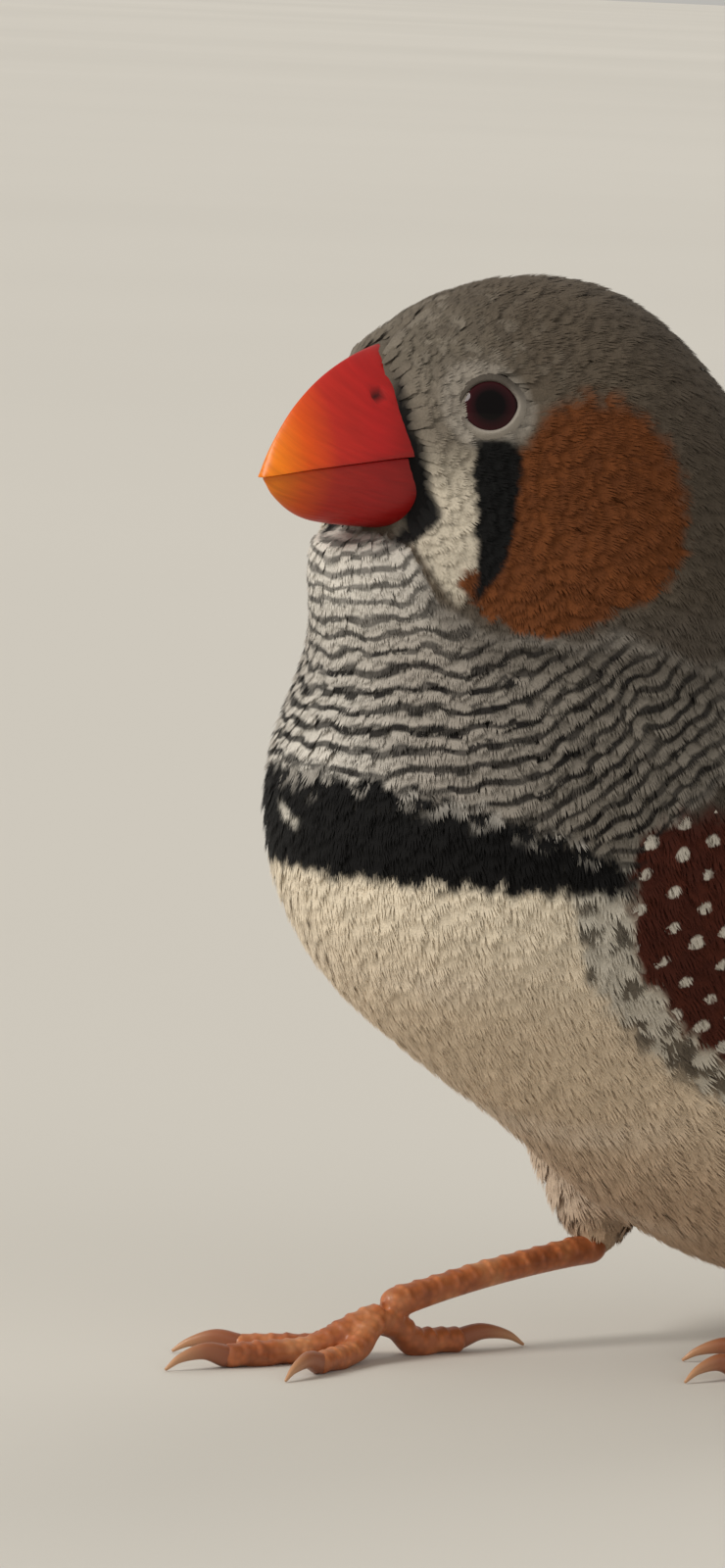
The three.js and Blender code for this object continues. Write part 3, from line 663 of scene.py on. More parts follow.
def spot_distance(points):
    """Distance to the nearest white flank spot, where 0.45 is about its edge."""
    along = (points[:, 1] + 0.55 * points[:, 2]) / SPOT_GAP
    across = (points[:, 2] - 0.5 * points[:, 1]) / SPOT_ROWS
    nearest = np.full(len(points), 9.0)
    for row in (-1, 0, 1):
        line = np.floor(across) + row
        for step in (-1, 0, 1):
            cell = np.floor(along - 0.5 * (line % 2)) + step
            wobble = np.sin(line * 12.9 + cell * 78.2) * 43758.5
            wobble -= np.floor(wobble)
            at_along = cell + 0.5 * (line % 2) + 0.5 + 0.22 * (wobble - 0.5)
            at_across = line + 0.5 + 0.25 * (wobble * 7 % 1 - 0.5)
            drop = 1.12 + 1.4 * np.clip(at_along - along, -0.2, 0.3)
            reach = np.hypot((along - at_along) * SPOT_GAP / 1.3, (across - at_across) * SPOT_ROWS * drop)
            nearest = np.minimum(nearest, reach + 0.1 * (wobble * 13 % 1))
    return nearest


print("flank spots", SPOT_GAP, "mm apart along a row, rows", SPOT_ROWS, "mm apart")

# %% [markdown]
# ## Breast band and rump
# The band is black, five millimetres deep in front and narrower at the flank, with an uneven upper edge
# where pale tips overlap it and one white fleck near its middle. The rump is white between black sides.

# %% Breast band and rump
BAND_TOP, BAND_LOW = 32.1, 26.7


def band_colours(colours, points, each, ragged):
    x, y, z = points.T
    t = from_front(y)
    top = BAND_TOP - 4.1 * t ** 1.5 + ragged * 0.7
    low = BAND_LOW - 0.2 * t + ragged * 0.6
    band = rise_between(top - z, -0.12, 0.3) * rise_between(z - low, -0.12, 0.3)
    band *= rise_between(-(y + ragged), 13.0, 14.4)
    colours = layer(colours, band, "#080707")
    pale_tip = band * rise_between(z - top, -1.6, -0.2) * ((each * 5.7) % 1 > 0.72)
    colours = layer(colours, pale_tip * 0.8, "#a8a299")
    slant = z - 29.6 + 0.38 * (x + 0.6) + 0.3 * ragged
    fleck = np.exp(-((x + 0.6) / 1.3) ** 2 - (slant / 0.4) ** 2)
    return layer(colours, rise_between(fleck, 0.25, 0.7) * (y < -20) * 0.85, "#c6c0b4"), band


def rump_colours(colours, points):
    x, y, z = points.T
    rump = rise_between(y, 20, 23) * rise_between(z + 0.12 * (y - 20), 17.2, 19.2)
    colours = layer(colours, rump * rise_between(-np.abs(x), -4.2, -3.4), "#d9d3c6")
    return layer(colours, rump * rise_between(np.abs(x), 3.4, 4.4), "#141212")


def body_markings(points, each):
    """Colours and pattern of the body. `each` is a number of its own for each feather, from 0 to 1."""
    bend = waver(points, 5, 3)
    ragged = 0.45 * waver(points, 1.1, 4) + 0.35 * (each - 0.5)
    colours = back_and_belly(points, each)
    colours, barred = bar_ground(colours, points, bend)
    colours, flank = flank_colours(colours, points, each, ragged)
    colours, band = band_colours(colours, points, each, ragged)
    colours = rump_colours(colours, points)
    phase, strength = bar_pattern(points, each, bend, barred, band)
    spots = np.where(flank > 0.55, spot_distance(points), 9.0)
    return colours, np.stack([phase, strength, spots], -1)


print("band", round(BAND_TOP - BAND_LOW, 1), "mm deep in front")

# %% [markdown]
# ## Outline of the bill
# The bill is needed before it is built, because feathers and markings stop at its edge. Its ridge, the line
# of the mouth, its keel and its half width are lists of pairs: how far ahead of the head's centre, and how
# high or wide it is there.

# %% Bill outline
CULMEN = [(7.5, 5.2), (10.9, 4.4), (13.4, 3.2), (15.4, 1.5), (16.8, -0.5), (17.5, -2.1)]
MOUTH = [(7.5, -0.9), (10.8, -1.05), (15, -1.7), (17.5, -2.25)]
KEEL = [(7.5, -5.1), (10.5, -4.85), (14, -4.5), (15.4, -4.05), (16.6, -3.2), (17.2, -2.45)]
BILL_WIDTH = [(7.5, 3.7), (10.8, 3.3), (13.2, 2.6), (15.6, 1.5), (17, 0.65), (17.5, 0.2)]


def fullness(ahead, upper):
    """The power of the bill's rounded section: near 1 is a ridge, over 2 is boxy."""
    base = rise_between(-ahead, -13, -10)
    return np.where(upper, 1.3 + 0.35 * base, 1.7 + 0.9 * base)


def off_bill(points):
    """About how far points of the face are outside the bill's sides, in mm."""
    ahead, leftward, over = head_axes(points)
    middle = level_at(MOUTH, ahead)
    tall = np.where(over > middle, level_at(CULMEN, ahead) - middle, middle - level_at(KEEL, ahead))
    wide = level_at(BILL_WIDTH, ahead)
    power = fullness(ahead, over > middle)
    reach = (np.abs(leftward) / wide) ** power + (np.abs(over - middle) / tall) ** power
    return (reach ** (1 / power) - 1) * wide + 2 * np.maximum(8.5 - ahead, 0)


print("the bill is", round(CULMEN[1][1] - KEEL[1][1], 2), "mm deep where the feathers end")

# %% [markdown]
# ## Crown and lore
# The crown is grey, paler and scaly on the forehead. Between bill and tear lies the lore, grey in front of
# the eye and whitish below it. All face markings are measured along the head's own directions, so they turn
# with it, and both cheeks carry the same.

# %% Crown and lore
EYE = {"ahead": 7.2, "over": 1.8, "radius": 2.35, "opening": 1.38}


def crown_colours(colours, points, each):
    ahead, _, over = head_axes(points)
    top = rise_between(over, -9.5, -7.5) * (points[:, 2] > level_at(BAR_TOP, points[:, 1]) - 0.6)
    crown = np.tile(paint("#544a3e"), (len(points), 1))
    crown = layer(crown, rise_between(ahead, 3.5, 9) * rise_between(over, 0, 3) * 0.7, "#6e665a")
    crown = layer(crown, rise_between(-ahead, -2, 5) * 0.5, "#40382f")
    scaly = rise_between(ahead, 1, 8) * rise_between(over, 1, 3.5)
    crown = layer(crown, scaly * rise_between((each * 3.7) % 1, 0.35, 1) * 0.45, "#4b433b")
    crown = layer(crown, scaly * rise_between((each * 9.1) % 1, 0.6, 1) * 0.4, "#948b7e")
    return blend(colours, crown, top), top


def tear_at(over):
    """How far ahead the tear stripe's middle is at a height, and its half width."""
    middle = np.interp(over, [-8.4, -6.2, -3.2, 0.6], [8.0, 7.15, 6.85, 6.95])
    return middle, np.interp(over, [-8.6, -7.6, -6.0, -3.2, 0.6], [0.1, 0.3, 0.7, 0.95, 1.08])


def lore_colours(colours, ahead, over, side, ragged):
    lore = rise_between(ahead - tear_at(over)[0] + ragged * 0.5, 0.3, 0.9) * rise_between(-over, -4.6, -2.6)
    lore *= side * rise_between(over + 8.6 - 0.55 * (ahead - 7.8) ** 2, -0.5, 0.4)
    colours = layer(colours, lore * 0.9, "#766d61")
    return layer(colours, lore * rise_between(-over, -0.8, 3.4), "#bcb2a0"), lore


print("the tear stripe is", round(2 * float(tear_at(-3.2)[1]), 2), "mm wide")

# %% [markdown]
# ## Cheek, tear and eye ring
# The cheek is two joined ovals of chestnut-orange with a soft edge. The tear stripe drops from the eye in
# front of it, and a thin black line edges the bill behind the gape. A pale ring of tiny feathers goes round
# the eye, brighter below and behind.


# %% Cheek, tear and eye ring
def cheek_colours(colours, each, ahead, over, side, ragged):
    big = np.hypot((ahead - 2.0) / 4.7, (over + 3.0) / 5.3)
    low = np.hypot((ahead - 4.9) / 3.7, (over + 6.7) / 2.9)
    soft = 0.06 + 0.05 * rise_between(over - 0.8 * ahead, -4, 1)
    inside = 1.02 - np.minimum(big, low) + ragged * 0.16 + 0.08 * (each - 0.5)
    cheek = rise_between(inside / soft, -1, 1.3) * side
    cheek *= rise_between(tear_at(over)[0] + 0.4 - ahead, -0.3, 0.3) + (over < -6.6)
    from_eye = np.hypot(ahead - EYE["ahead"], over - EYE["over"])
    cheek = np.clip(cheek, 0, 1) * rise_between(from_eye + ragged, 2.1, 3.0)
    colours = layer(colours, cheek, "#603416")
    colours = layer(colours, cheek * rise_between(each, 0.3, 1) * 0.4, "#6e3c19")
    return layer(colours, cheek * rise_between(1 - each, 0.75, 1) * 0.3, "#502a11"), cheek


def black_colours(colours, points, ahead, over, side, ragged):
    """The tear stripe and the line behind the bill."""
    middle, half = tear_at(over)
    tear = rise_between(half - np.abs(ahead - middle) + ragged * 0.6, -0.12, 0.14)
    tear *= rise_between(over, -8.9, -8.3) * rise_between(-over, -0.9, -0.1) * side
    width = 0.5 + 0.9 * rise_between(-over, 2.4, 4.2)
    line = rise_between(width - off_bill(points) + ragged * 0.3, -0.12, 0.2)
    line *= rise_between(over, -6.0, -5.2) * rise_between(-over, -3.6, -2.6) * side
    return layer(layer(colours, tear, "#080808"), line, "#0b0a0a"), np.maximum(tear, line)


def ring_colours(colours, ahead, over, side):
    from_eye = np.hypot(ahead - EYE["ahead"], over - EYE["over"])
    ring = rise_between(2.45 - from_eye, 0, 0.5) * side
    ring *= 0.55 + 0.45 * rise_between(-(over - EYE["over"]) - 0.5 * (ahead - EYE["ahead"]), -0.8, 1.2)
    ring *= 1 - rise_between(1.0 - np.abs(ahead - 7), 0, 0.4) * rise_between(-over, -0.3, 0.1)
    return layer(colours, ring * 0.85, "#a39b90"), ring


def markings(points, each):
    """Linear colour and pattern of the plumage at points of the bird."""
    colours, pattern = body_markings(points, each)
    ahead, leftward, over = head_axes(points)
    side = rise_between(np.abs(leftward), 1.6, 2.6)
    ragged = 0.22 * waver(points, 0.9, 14) + 0.2 * (each - 0.5)
    colours, top = crown_colours(colours, points, each)
    colours, lore = lore_colours(colours, ahead, over, side, ragged)
    colours, cheek = cheek_colours(colours, each, ahead, over, side, ragged)
    colours, black = black_colours(colours, points, ahead, over, side, ragged)
    colours, ring = ring_colours(colours, ahead, over, side)
    plain = np.clip(np.maximum.reduce([lore, cheek, black, ring, top]), 0, 1)
    pattern[:, 1] *= 1 - plain
    return colours, pattern


cheek_spot = on_head(2, 7, -3)[None]
print("colour of the cheek:", markings(cheek_spot, np.array([0.5]))[0].round(3))

# %% [markdown]
# ## Plumage
# Feathers are keratin, grown as loose barbs that scatter light: dull, with a faint sheen at grazing light,
# and black that stays black. Keratin's IOR is 1.54, with little gloss. The colour comes from the markings.
# Bars and spots are cut out of the pattern values with narrow ramps, and so stay sharp between corners. A
# fine noise gives barbs their own tone, at a tenth of a millimetre, coarser than real ones so that it shows.


# %% Plumage material
def plumage_material(name, roughness, bump):
    material = new_material(name)
    place = add_node(material, "ShaderNodeTexCoord")
    colour = add_node(material, "ShaderNodeAttribute", {"attribute_name": "plumage"})
    values = add_node(material, "ShaderNodeAttribute", {"attribute_name": "pattern"})
    split = add_node(material, "ShaderNodeSeparateXYZ", None, Vector=values.outputs["Vector"])
    wave = add_node(material, "ShaderNodeMath", {"operation": "FRACT"}, _0=split.outputs["X"])
    dark = ramp(material, wave.outputs[0], [
        (0.0, (0, 0, 0)), (0.10, (0, 0, 0)), (0.24, (1, 1, 1)), (0.50, (1, 1, 1)), (0.66, (0, 0, 0))])
    bars = add_node(material, "ShaderNodeMath", {"operation": "MULTIPLY"}, _0=dark, _1=split.outputs["Y"])
    black = (*paint("#13100e"), 1)
    barred = add_node(material, "ShaderNodeMix", {"data_type": "RGBA", 7: black}, _0=bars.outputs[0],
                      _6=colour.outputs["Color"])
    inside = add_node(material, "ShaderNodeMapRange", {"From Min": 0.50, "From Max": 0.38},
                      Value=split.outputs["Z"])
    white = (*paint("#bdb5a8"), 1)
    spotted = add_node(material, "ShaderNodeMix", {"data_type": "RGBA", 7: white}, _0=inside.outputs[0],
                       _6=barred.outputs[2])
    grain = add_node(material, "ShaderNodeTexNoise", {"Scale": 9000.0, "Detail": 2.0},
                     Vector=place.outputs["Object"])
    tone = add_node(material, "ShaderNodeMapRange",
                    {"From Min": 0.3, "From Max": 0.7, "To Min": 0.88, "To Max": 1.11},
                    Value=grain.outputs["Fac"])
    final = add_node(material, "ShaderNodeVectorMath", {"operation": "SCALE"}, _0=spotted.outputs[2],
                     Scale=tone.outputs[0])
    relief = add_node(material, "ShaderNodeBump", {"Strength": bump, "Distance": 0.0001},
                      Height=grain.outputs["Fac"])
    return surface(material, {"Roughness": roughness, "IOR": 1.54, "Specular IOR Level": 0.16,
                              "Sheen Weight": 0.05, "Sheen Roughness": 0.5},
                   Base_Color=final.outputs[0], Normal=relief.outputs["Normal"])


coat_finish = plumage_material("barbs of body feathers", 0.82, 0.35)
skin_finish = plumage_material("down over skin", 0.95, 0.5)
print("plumage nodes:", len(coat_finish.node_tree.nodes))

# %% [markdown]
# ## The skin as a piece
# A bake needs a flat map of the skin. Its own shape gives one: how far along the body's midline a point is,
# and how far round it. Projecting from a camera would smear the far side.


# %% Skin piece
def unwrap(points):
    """Each point's place on an unwrap of the skin: how far along the midline it is, and round it."""
    nearest = np.zeros(len(points), int)
    for part in np.array_split(np.arange(len(points)), max(1, len(points) // 20000)):
        nearest[part] = ((points[part, None] - midline[None]) ** 2).sum(-1).argmin(1)
    way = midline_way[nearest]
    off = points - midline[nearest]
    along = (nearest + (off * way).sum(1) / 1.1) / len(midline)
    rise = unit(np.cross(np.array([1.0, 0, 0]), way))
    around = np.arctan2(off[:, 0], -(off * rise).sum(1)) / (2 * math.pi) + 0.5
    return np.clip(np.stack([around, along], -1), 0.01, 0.985)


def shade(colours):
    return np.hstack([np.clip(colours, 0, 1), np.ones((len(colours), 1))])


skin_colours, skin_pattern = markings(skin_points, np.full(len(skin_points), 0.5))
skin = build("skin", skin_points, skin_quads, skin_finish, bake=unwrap(skin_points),
             layers={"plumage": shade(skin_colours * 0.95), "pattern": skin_pattern})
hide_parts("head", "neck", "torso", "thigh_left", "thigh_right")
print("skin piece:", triangles_in(skin), "triangles")

# %% [markdown]
# ## A body feather
# A small contour feather has a soft vane that ends in loose barbs. One is drawn flat here, in units of half
# its width: a narrow sheet for the closed part, and thin tapering barbs that fan out past its edge. Six
# versions keep neighbours from looking alike. Tufts of round strands would look like fur.

# %% Flat feather shapes
FEATHER_LENGTH = 5.2  # in half widths
VANE_ROWS = [(0.0, 0.35), (1.3, 0.8), (2.5, 1.0), (3.3, 0.85), (3.9, 0.35)]


def flat_feather(seed, barbs):
    """Corners as across, along and lift, with quads and triangles."""
    pick = np.random.default_rng(seed)
    corners, quads, triangles = [], [], []
    for along, half in VANE_ROWS:
        corners += [(-half, along, -0.1), (0, along, 0.12), (half, along, -0.1)]
    quads = grid_faces(len(VANE_ROWS), 3).tolist()
    for j in range(barbs):
        swing = 1.5 * (-1 + 2 * (j + 0.5 + pick.uniform(-0.3, 0.3)) / barbs)
        start = np.array([0.84 * math.sin(swing), 2.5 + 1.1 * math.cos(swing)])
        way = swing * 0.3 + pick.uniform(-0.1, 0.1)
        forward = np.array([math.sin(way), math.cos(way)])
        length = pick.uniform(1.0, 1.6) * (0.75 + 0.25 * math.cos(swing))
        bend = pick.uniform(-0.12, 0.12)
        beside = np.array([forward[1], -forward[0]])
        middle = start + forward * length * 0.55 + beside * bend
        tip = start + forward * length + beside * bend * 0.3
        lift = pick.uniform(-0.06, 0.12)
        first = len(corners)
        for spot, half, high in ((start, 0.1, 0.02), (middle, 0.085, 0.04 + lift * 0.3)):
            for sign in (-1, 1):
                corners.append((*(spot + beside * half * sign), high))
        corners.append((*tip, 0.08 + lift))
        quads.append([first, first + 1, first + 3, first + 2])
        triangles.append([first + 2, first + 3, first + 4])
    return np.array(corners), np.array(quads), np.array(triangles)


SHAPES = [flat_feather(40 + n, 18) for n in range(6)]
print("a feather has", 2 * len(SHAPES[0][1]) + len(SHAPES[0][2]), "triangles")

# %% [markdown]
# ## Where feathers grow
# Feathers grow closest on the face and widest on the belly. Random spots are thrown over the skin, and any
# spot closer to a kept one than the spacing there is dropped, which leaves an even but unruled scatter.
# A scatter in Geometry Nodes would do the same, but hides the numbers.

# %% Feather roots
chance = np.random.default_rng(11)


def spacing(points):
    """Half a feather's width at points of the body."""
    ahead = head_axes(points)[0]
    gap = 0.34 + 0.11 * rise_between(-ahead, -8, 0) + 0.15 * rise_between(-points[:, 2], -40, -30)
    return gap + 0.06 * rise_between(-points[:, 2], -30, -18)


def thrown(count, points, quads):
    """Random points over a net of quads, even by area."""
    corners = points[quads]
    across, other = corners[:, 2] - corners[:, 0], corners[:, 3] - corners[:, 1]
    area = 0.5 * np.linalg.norm(np.cross(across, other), axis=1)
    pick = chance.choice(len(quads), count, p=area / area.sum())
    u, v = chance.random(count)[:, None], chance.random(count)[:, None]
    a, b, c, d = (corners[pick, n] for n in range(4))
    return (a * (1 - u) + b * u) * (1 - v) + (d * (1 - u) + c * u) * v


def thinned(points, gaps):
    """The points that stay when none may be closer to another than its gap."""
    tree = KDTree(len(points))
    for n, spot in enumerate(points):
        tree.insert(spot, n)
    tree.balance()
    alive = np.ones(len(points), bool)
    kept = []
    for n in range(len(points)):
        if alive[n]:
            kept.append(n)
            for _, other, _ in tree.find_range(points[n], gaps[n]):
                alive[other] = False
    return points[np.array(kept)]


roots = thrown(170000, skin_points, skin_quads)
roots = thinned(roots, spacing(roots))
roots = settle(roots, skin_level, 2)
print(len(roots), "roots over the body")

# %% [markdown]
# ## Where the eyes sit
# The coat needs to know the eyes before they are made. Each ball sits so deep in the head that the lids show
# a disc of it, and looks straight out of the surface there.


# %% Eye places
def eye_place(side):
    """The middle of an eyeball, and the way it looks out."""
    low, high = 0.0, 12.0
    for _ in range(24):
        middle = (low + high) / 2
        inside = flowing(on_head(EYE["ahead"], side * middle, EYE["over"])[None], BODY_FORMS, 6)[0] < 0
        low, high = (middle, high) if inside else (low, middle)
    edge = on_head(EYE["ahead"], side * low, EYE["over"])
    out = slope(lambda p: flowing(p, BODY_FORMS, 6), edge[None])[0][0]
    disc, lids = 1.42, 0.3  # half the disc that shows, and room for the lids round it
    sunk = math.sqrt((EYE["radius"] + lids) ** 2 - (disc + lids) ** 2)
    return edge - out * sunk, out, edge


EYES = {"left": eye_place(1), "right": eye_place(-1)}
print("eyes", [centre.round(1).tolist() for centre, out, edge in EYES.values()])

# %% [markdown]
# ## Laying a feather
# Each feather is laid by walking from its root along the lie of the coat, a few steps over the skin, while
# it rises from the skin to the outer surface. The flat shape is then mapped onto that walk, so that it bends
# with the body. All feathers take each step together, as arrays, which keeps the coat to seconds.

# %% Walks over the skin
STEPS = 5


def walks(roots, length, twist, rise):
    """Middle points, normals and sideways directions of feathers that lie over the skin."""
    normals = slope(body, roots)[0]
    way = lie(roots, normals)
    beside = np.cross(normals, way)
    way = unit(way * np.cos(twist)[:, None] + beside * np.sin(twist)[:, None])
    points, ups, sides = [roots], [normals], [np.cross(way, normals)]
    here = roots
    for _ in range(STEPS - 1):
        here = settle(here + way * (length / (STEPS - 1))[:, None], skin_level, 1)
        normals = slope(body, here)[0]
        way = unit(way - normals * (way * normals).sum(1, keepdims=True))
        points.append(here)
        ups.append(normals)
        sides.append(np.cross(way, normals))
    points, ups, sides = (np.stack(block, 1) for block in (points, ups, sides))
    steps = np.linspace(0, 1, STEPS)
    lift = 0.05 + rise[:, None] * steps[None] ** 1.15
    return points + ups * lift[..., None], ups, sides


crown = walks(np.array([[0.4, -13.0, 57.0]]), np.array([2.0]), np.zeros(1), np.array([0.4]))[0][0]
print("a feather of the crown runs from", crown[0].round(1), "to", crown[-1].round(1))


# %% One layer of feathers
def mapped(shape, middles, ups, sides, half):
    """Corners of one flat shape, laid along each walk."""
    t = np.clip(shape[:, 1] / FEATHER_LENGTH, 0, 1.06) * (STEPS - 1)
    low = np.minimum(t.astype(int), STEPS - 2)
    share = (t - low)[:, None]
    middle, up, side = (line[:, low] * (1 - share) + line[:, low + 1] * share
                        for line in (middles, ups, sides))
    wide = half[:, None, None]
    return middle + side * shape[None, :, 0:1] * wide + up * shape[None, :, 2:3] * wide * 0.5


def feather_layer(name, roots, half, rise, twist, each):
    """One piece of the coat: feathers of the flat shapes over the given roots."""
    walk = walks(roots, half * FEATHER_LENGTH, twist, rise)
    base = unwrap(roots)
    points, quads, triangles, number, along, bake, first = [], [], [], [], [], [], 0
    for n, (shape, four, three) in enumerate(SHAPES):
        mine = np.arange(n, len(roots), len(SHAPES))
        count = len(shape)
        offsets = first + np.arange(len(mine))[:, None, None] * count
        points.append(mapped(shape, *(line[mine] for line in walk), half[mine]).reshape(-1, 3))
        quads.append((four[None] + offsets).reshape(-1, 4))
        triangles.append((three[None] + offsets).reshape(-1, 3))
        number.append(np.repeat(each[mine], count))
        along.append(np.tile(shape[:, 1] / FEATHER_LENGTH, len(mine)))
        patch = 0.003 * np.stack([shape[:, 0] * 0.45 + 0.5, shape[:, 1] / FEATHER_LENGTH], -1)
        bake.append((base[mine][:, None] + patch[None]).reshape(-1, 2))
        first += count * len(mine)
    points, number, along = np.vstack(points), np.concatenate(number), np.concatenate(along)
    colours, pattern = markings(points, number)
    tone = 0.94 + 0.12 * ((number * 17.3) % 1)
    tone *= 0.9 + 0.1 * rise_between(along, 0.2, 0.6) + 0.05 * rise_between(along, 0.7, 1)
    piece = build(name, points, [np.vstack(quads), np.vstack(triangles)], coat_finish,
                  layers={"plumage": shade(colours * tone[:, None]), "pattern": pattern},
                  bake=np.vstack(bake))
    return piece


print("a feather has", len(SHAPES[0][0]), "corners")

# %% [markdown]
# ## Bare places
# No feather grows inside the eye, on the bill, at the heel or deep under a wing, where none would show. How
# far round the body a place is, is measured from a line through the wing's root and tip.

# %% Bare places
WING_AXIS = [(-10, 29), (0, 24.6), (10, 21.6), (20, 19.5), (30, 17.8), (46, 16.6)]


def under_wing(points):
    """True deep under a folded wing, where no body feather shows."""
    y = points[:, 1]
    angle = np.degrees(np.arctan2(points[:, 2] - level_at(WING_AXIS, y), np.abs(points[:, 0])))
    low = np.interp(y, [-5, -1, 5, 15, 29], [4, -4, -3, 4, 18])
    high = np.interp(y, [-5, -1, 5, 15, 29], [36, 48, 58, 58, 52])
    return (y > -3.5) & (y < 27) & (angle > low) & (angle < high)


bare = under_wing(roots)
for centre, out, edge in EYES.values():
    gap = roots - edge
    from_middle = np.linalg.norm(gap - (gap @ out)[:, None] * out, axis=1)
    bare |= (from_middle < 1.62) & (np.linalg.norm(gap, axis=1) <= 4)
bare |= off_bill(roots) < 0.02
down_thigh = np.zeros(len(roots))
for leg in LEGS.values():
    hip, heel = np.array(leg["hip"]), np.array(leg["heel"])
    share = (roots - hip) @ (heel - hip) / ((heel - hip) @ (heel - hip))
    aside = np.linalg.norm(roots - hip - share[:, None] * (heel - hip), axis=1)
    down_thigh = np.maximum(down_thigh, np.where(aside < THIGH * (1.3 - 0.8 * share), share, 0))
bare |= down_thigh > 0.8
down_thigh = down_thigh[~bare]
roots = roots[~bare]
print(int(bare.sum()), "roots left bare,", len(roots), "feathers remain")

# %% [markdown]
# ## The coat
# Size, rise, twist and tone differ a little from feather to feather, less so on the belly, which lies
# smoothest. On the thighs feathers shrink and lie flatter towards the heel. The coat is made in pieces by
# region, each of at most 180000 triangles.
# region, each small enough for an export to take.

# %% Coat
each = chance.random(len(roots))
half = spacing(roots) * chance.uniform(0.98, 1.2, len(roots))
ahead, _, over = head_axes(roots)
_, y, z = roots.T
half *= 1 + 0.4 * rise_between(y, 14, 22)
half *= 1 - 0.2 * rise_between(ahead, 8.2, 10.2) * rise_between(over, -6, -5)
half *= 1 - 0.4 * rise_between(down_thigh, 0.4, 0.8)
calm = 1 - 0.5 * rise_between(-z, -28, -24)
rise = coat_depth(roots) * (1 + calm * chance.uniform(-0.15, 0.12, len(roots)))
rise *= 1 - 0.75 * rise_between(down_thigh, 0.4, 0.8)
twist = calm * chance.normal(0, 0.1, len(roots))
region = np.select([over > -8.6, z > 37, z > 29, y < -4, y < 14],
                   ["head", "throat", "breast", "front_belly", "belly"], "rump")
region = np.where((over > -8.6) & (y > -9) & (z < 44), "throat", region)
FEATHER_TRIANGLES, PIECE_TRIANGLES = 71, 180000
coat_total = 0
for name in ("head", "throat", "breast", "front_belly", "belly", "rump"):
    mine = np.flatnonzero(region == name)
    pieces = max(1, math.ceil(len(mine) * FEATHER_TRIANGLES / PIECE_TRIANGLES))
    for part, some in enumerate(np.array_split(mine, pieces), 1):
        piece = feather_layer(f"coat_{name}_{part}", roots[some], half[some], rise[some], twist[some],
                              each[some])
        coat_total += triangles_in(piece)
print("coat:", len(roots), "feathers,", coat_total, "triangles")

# %% [markdown]
# ## Eyes
# A finch's eye is a wet ball nearly two fifths of the head's width across, of which the lids show a disc
# under 3 mm wide. The iris is a red so dark that it reads as black beside the pupil until light catches it.
# Its fibres, 2600 across the ball, are as fine as real ones and only soften the pupil's edge. A clear coat of
# tear film, IOR 1.34, gives the one sharp highlight. A glass cornea would add little here.


# %% Wet eye
def ball_points(centre, out, radius, rings, around):
    """A ball whose pole looks along out, as rings of points from the pole back."""
    side = unit(np.cross([0, 0, 1.0], out))
    top = np.cross(out, side)
    polar = np.linspace(0.02, math.pi - 0.02, rings)[:, None]
    turn = np.linspace(0, 2 * math.pi, around, endpoint=False)[None]
    spots = (np.cos(polar)[..., None] * out + np.sin(polar)[..., None]
             * (np.cos(turn)[..., None] * side + np.sin(turn)[..., None] * top))
    return centre + radius * spots.reshape(-1, 3), np.repeat(polar[:, 0], around)


def capped(rows, columns):
    """Faces of a closed tube of rings, with a fan at each end."""
    first = np.arange(columns)[::-1][None]
    last = ((rows - 1) * columns + np.arange(columns))[None]
    return [grid_faces(rows, columns, closed=True), first, last]


wet_eye = new_material("wet eye, dark red iris")
where = add_node(wet_eye, "ShaderNodeAttribute", {"attribute_name": "pattern"})
from_pole = add_node(wet_eye, "ShaderNodeSeparateXYZ", None, Vector=where.outputs["Vector"])
fibres = add_node(wet_eye, "ShaderNodeTexNoise", {"Scale": 2600.0, "Detail": 3.0})
wobble = add_node(wet_eye, "ShaderNodeMath", {"operation": "MULTIPLY_ADD", 1: 0.05},
                  _0=fibres.outputs["Fac"], _2=from_pole.outputs["X"])
iris = ramp(wet_eye, wobble.outputs[0], [
    (0.0, paint("#040102")), (0.33, paint("#060203")), (0.40, paint("#1c070a")), (0.58, paint("#300c11")),
    (0.68, paint("#140507"))])
surface(wet_eye, {"Roughness": 0.3, "IOR": 1.38, "Specular IOR Level": 0.0, "Coat Weight": 0.55,
                  "Coat Roughness": 0.02, "Coat IOR": 1.34},
        Base_Color=iris)
print("eye nodes:", len(wet_eye.node_tree.nodes))

# %% Eyeballs
EYE_ROWS, EYE_COLUMNS = 40, 48
for side, (centre, out, edge) in EYES.items():
    points, polar = ball_points(centre, out, EYE["radius"], EYE_ROWS, EYE_COLUMNS)
    pattern = np.stack([polar, polar * 0, polar * 0], -1)
    eyeball = build(f"eyeball_{side}", points, capped(EYE_ROWS, EYE_COLUMNS), wet_eye,
                    layers={"pattern": pattern})
    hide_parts(f"eye_{side}")
print("eyes", round(2 * EYE["opening"], 2), "mm across between the lids")

# %% [markdown]
# ## Eyelids
# Upper and lower lids are bare skin that hugs the ball, thickest at a rounded rim and creased as tiny beads a
# quarter of a millimetre wide. They are paler below and behind, and a skin grain too fine to see makes them
# matt and chalky. The lids meet in a small point ahead of and behind the eye. A ring of sections does it:
# each is a rounded rim that starts on the ball and runs out under the first feathers.

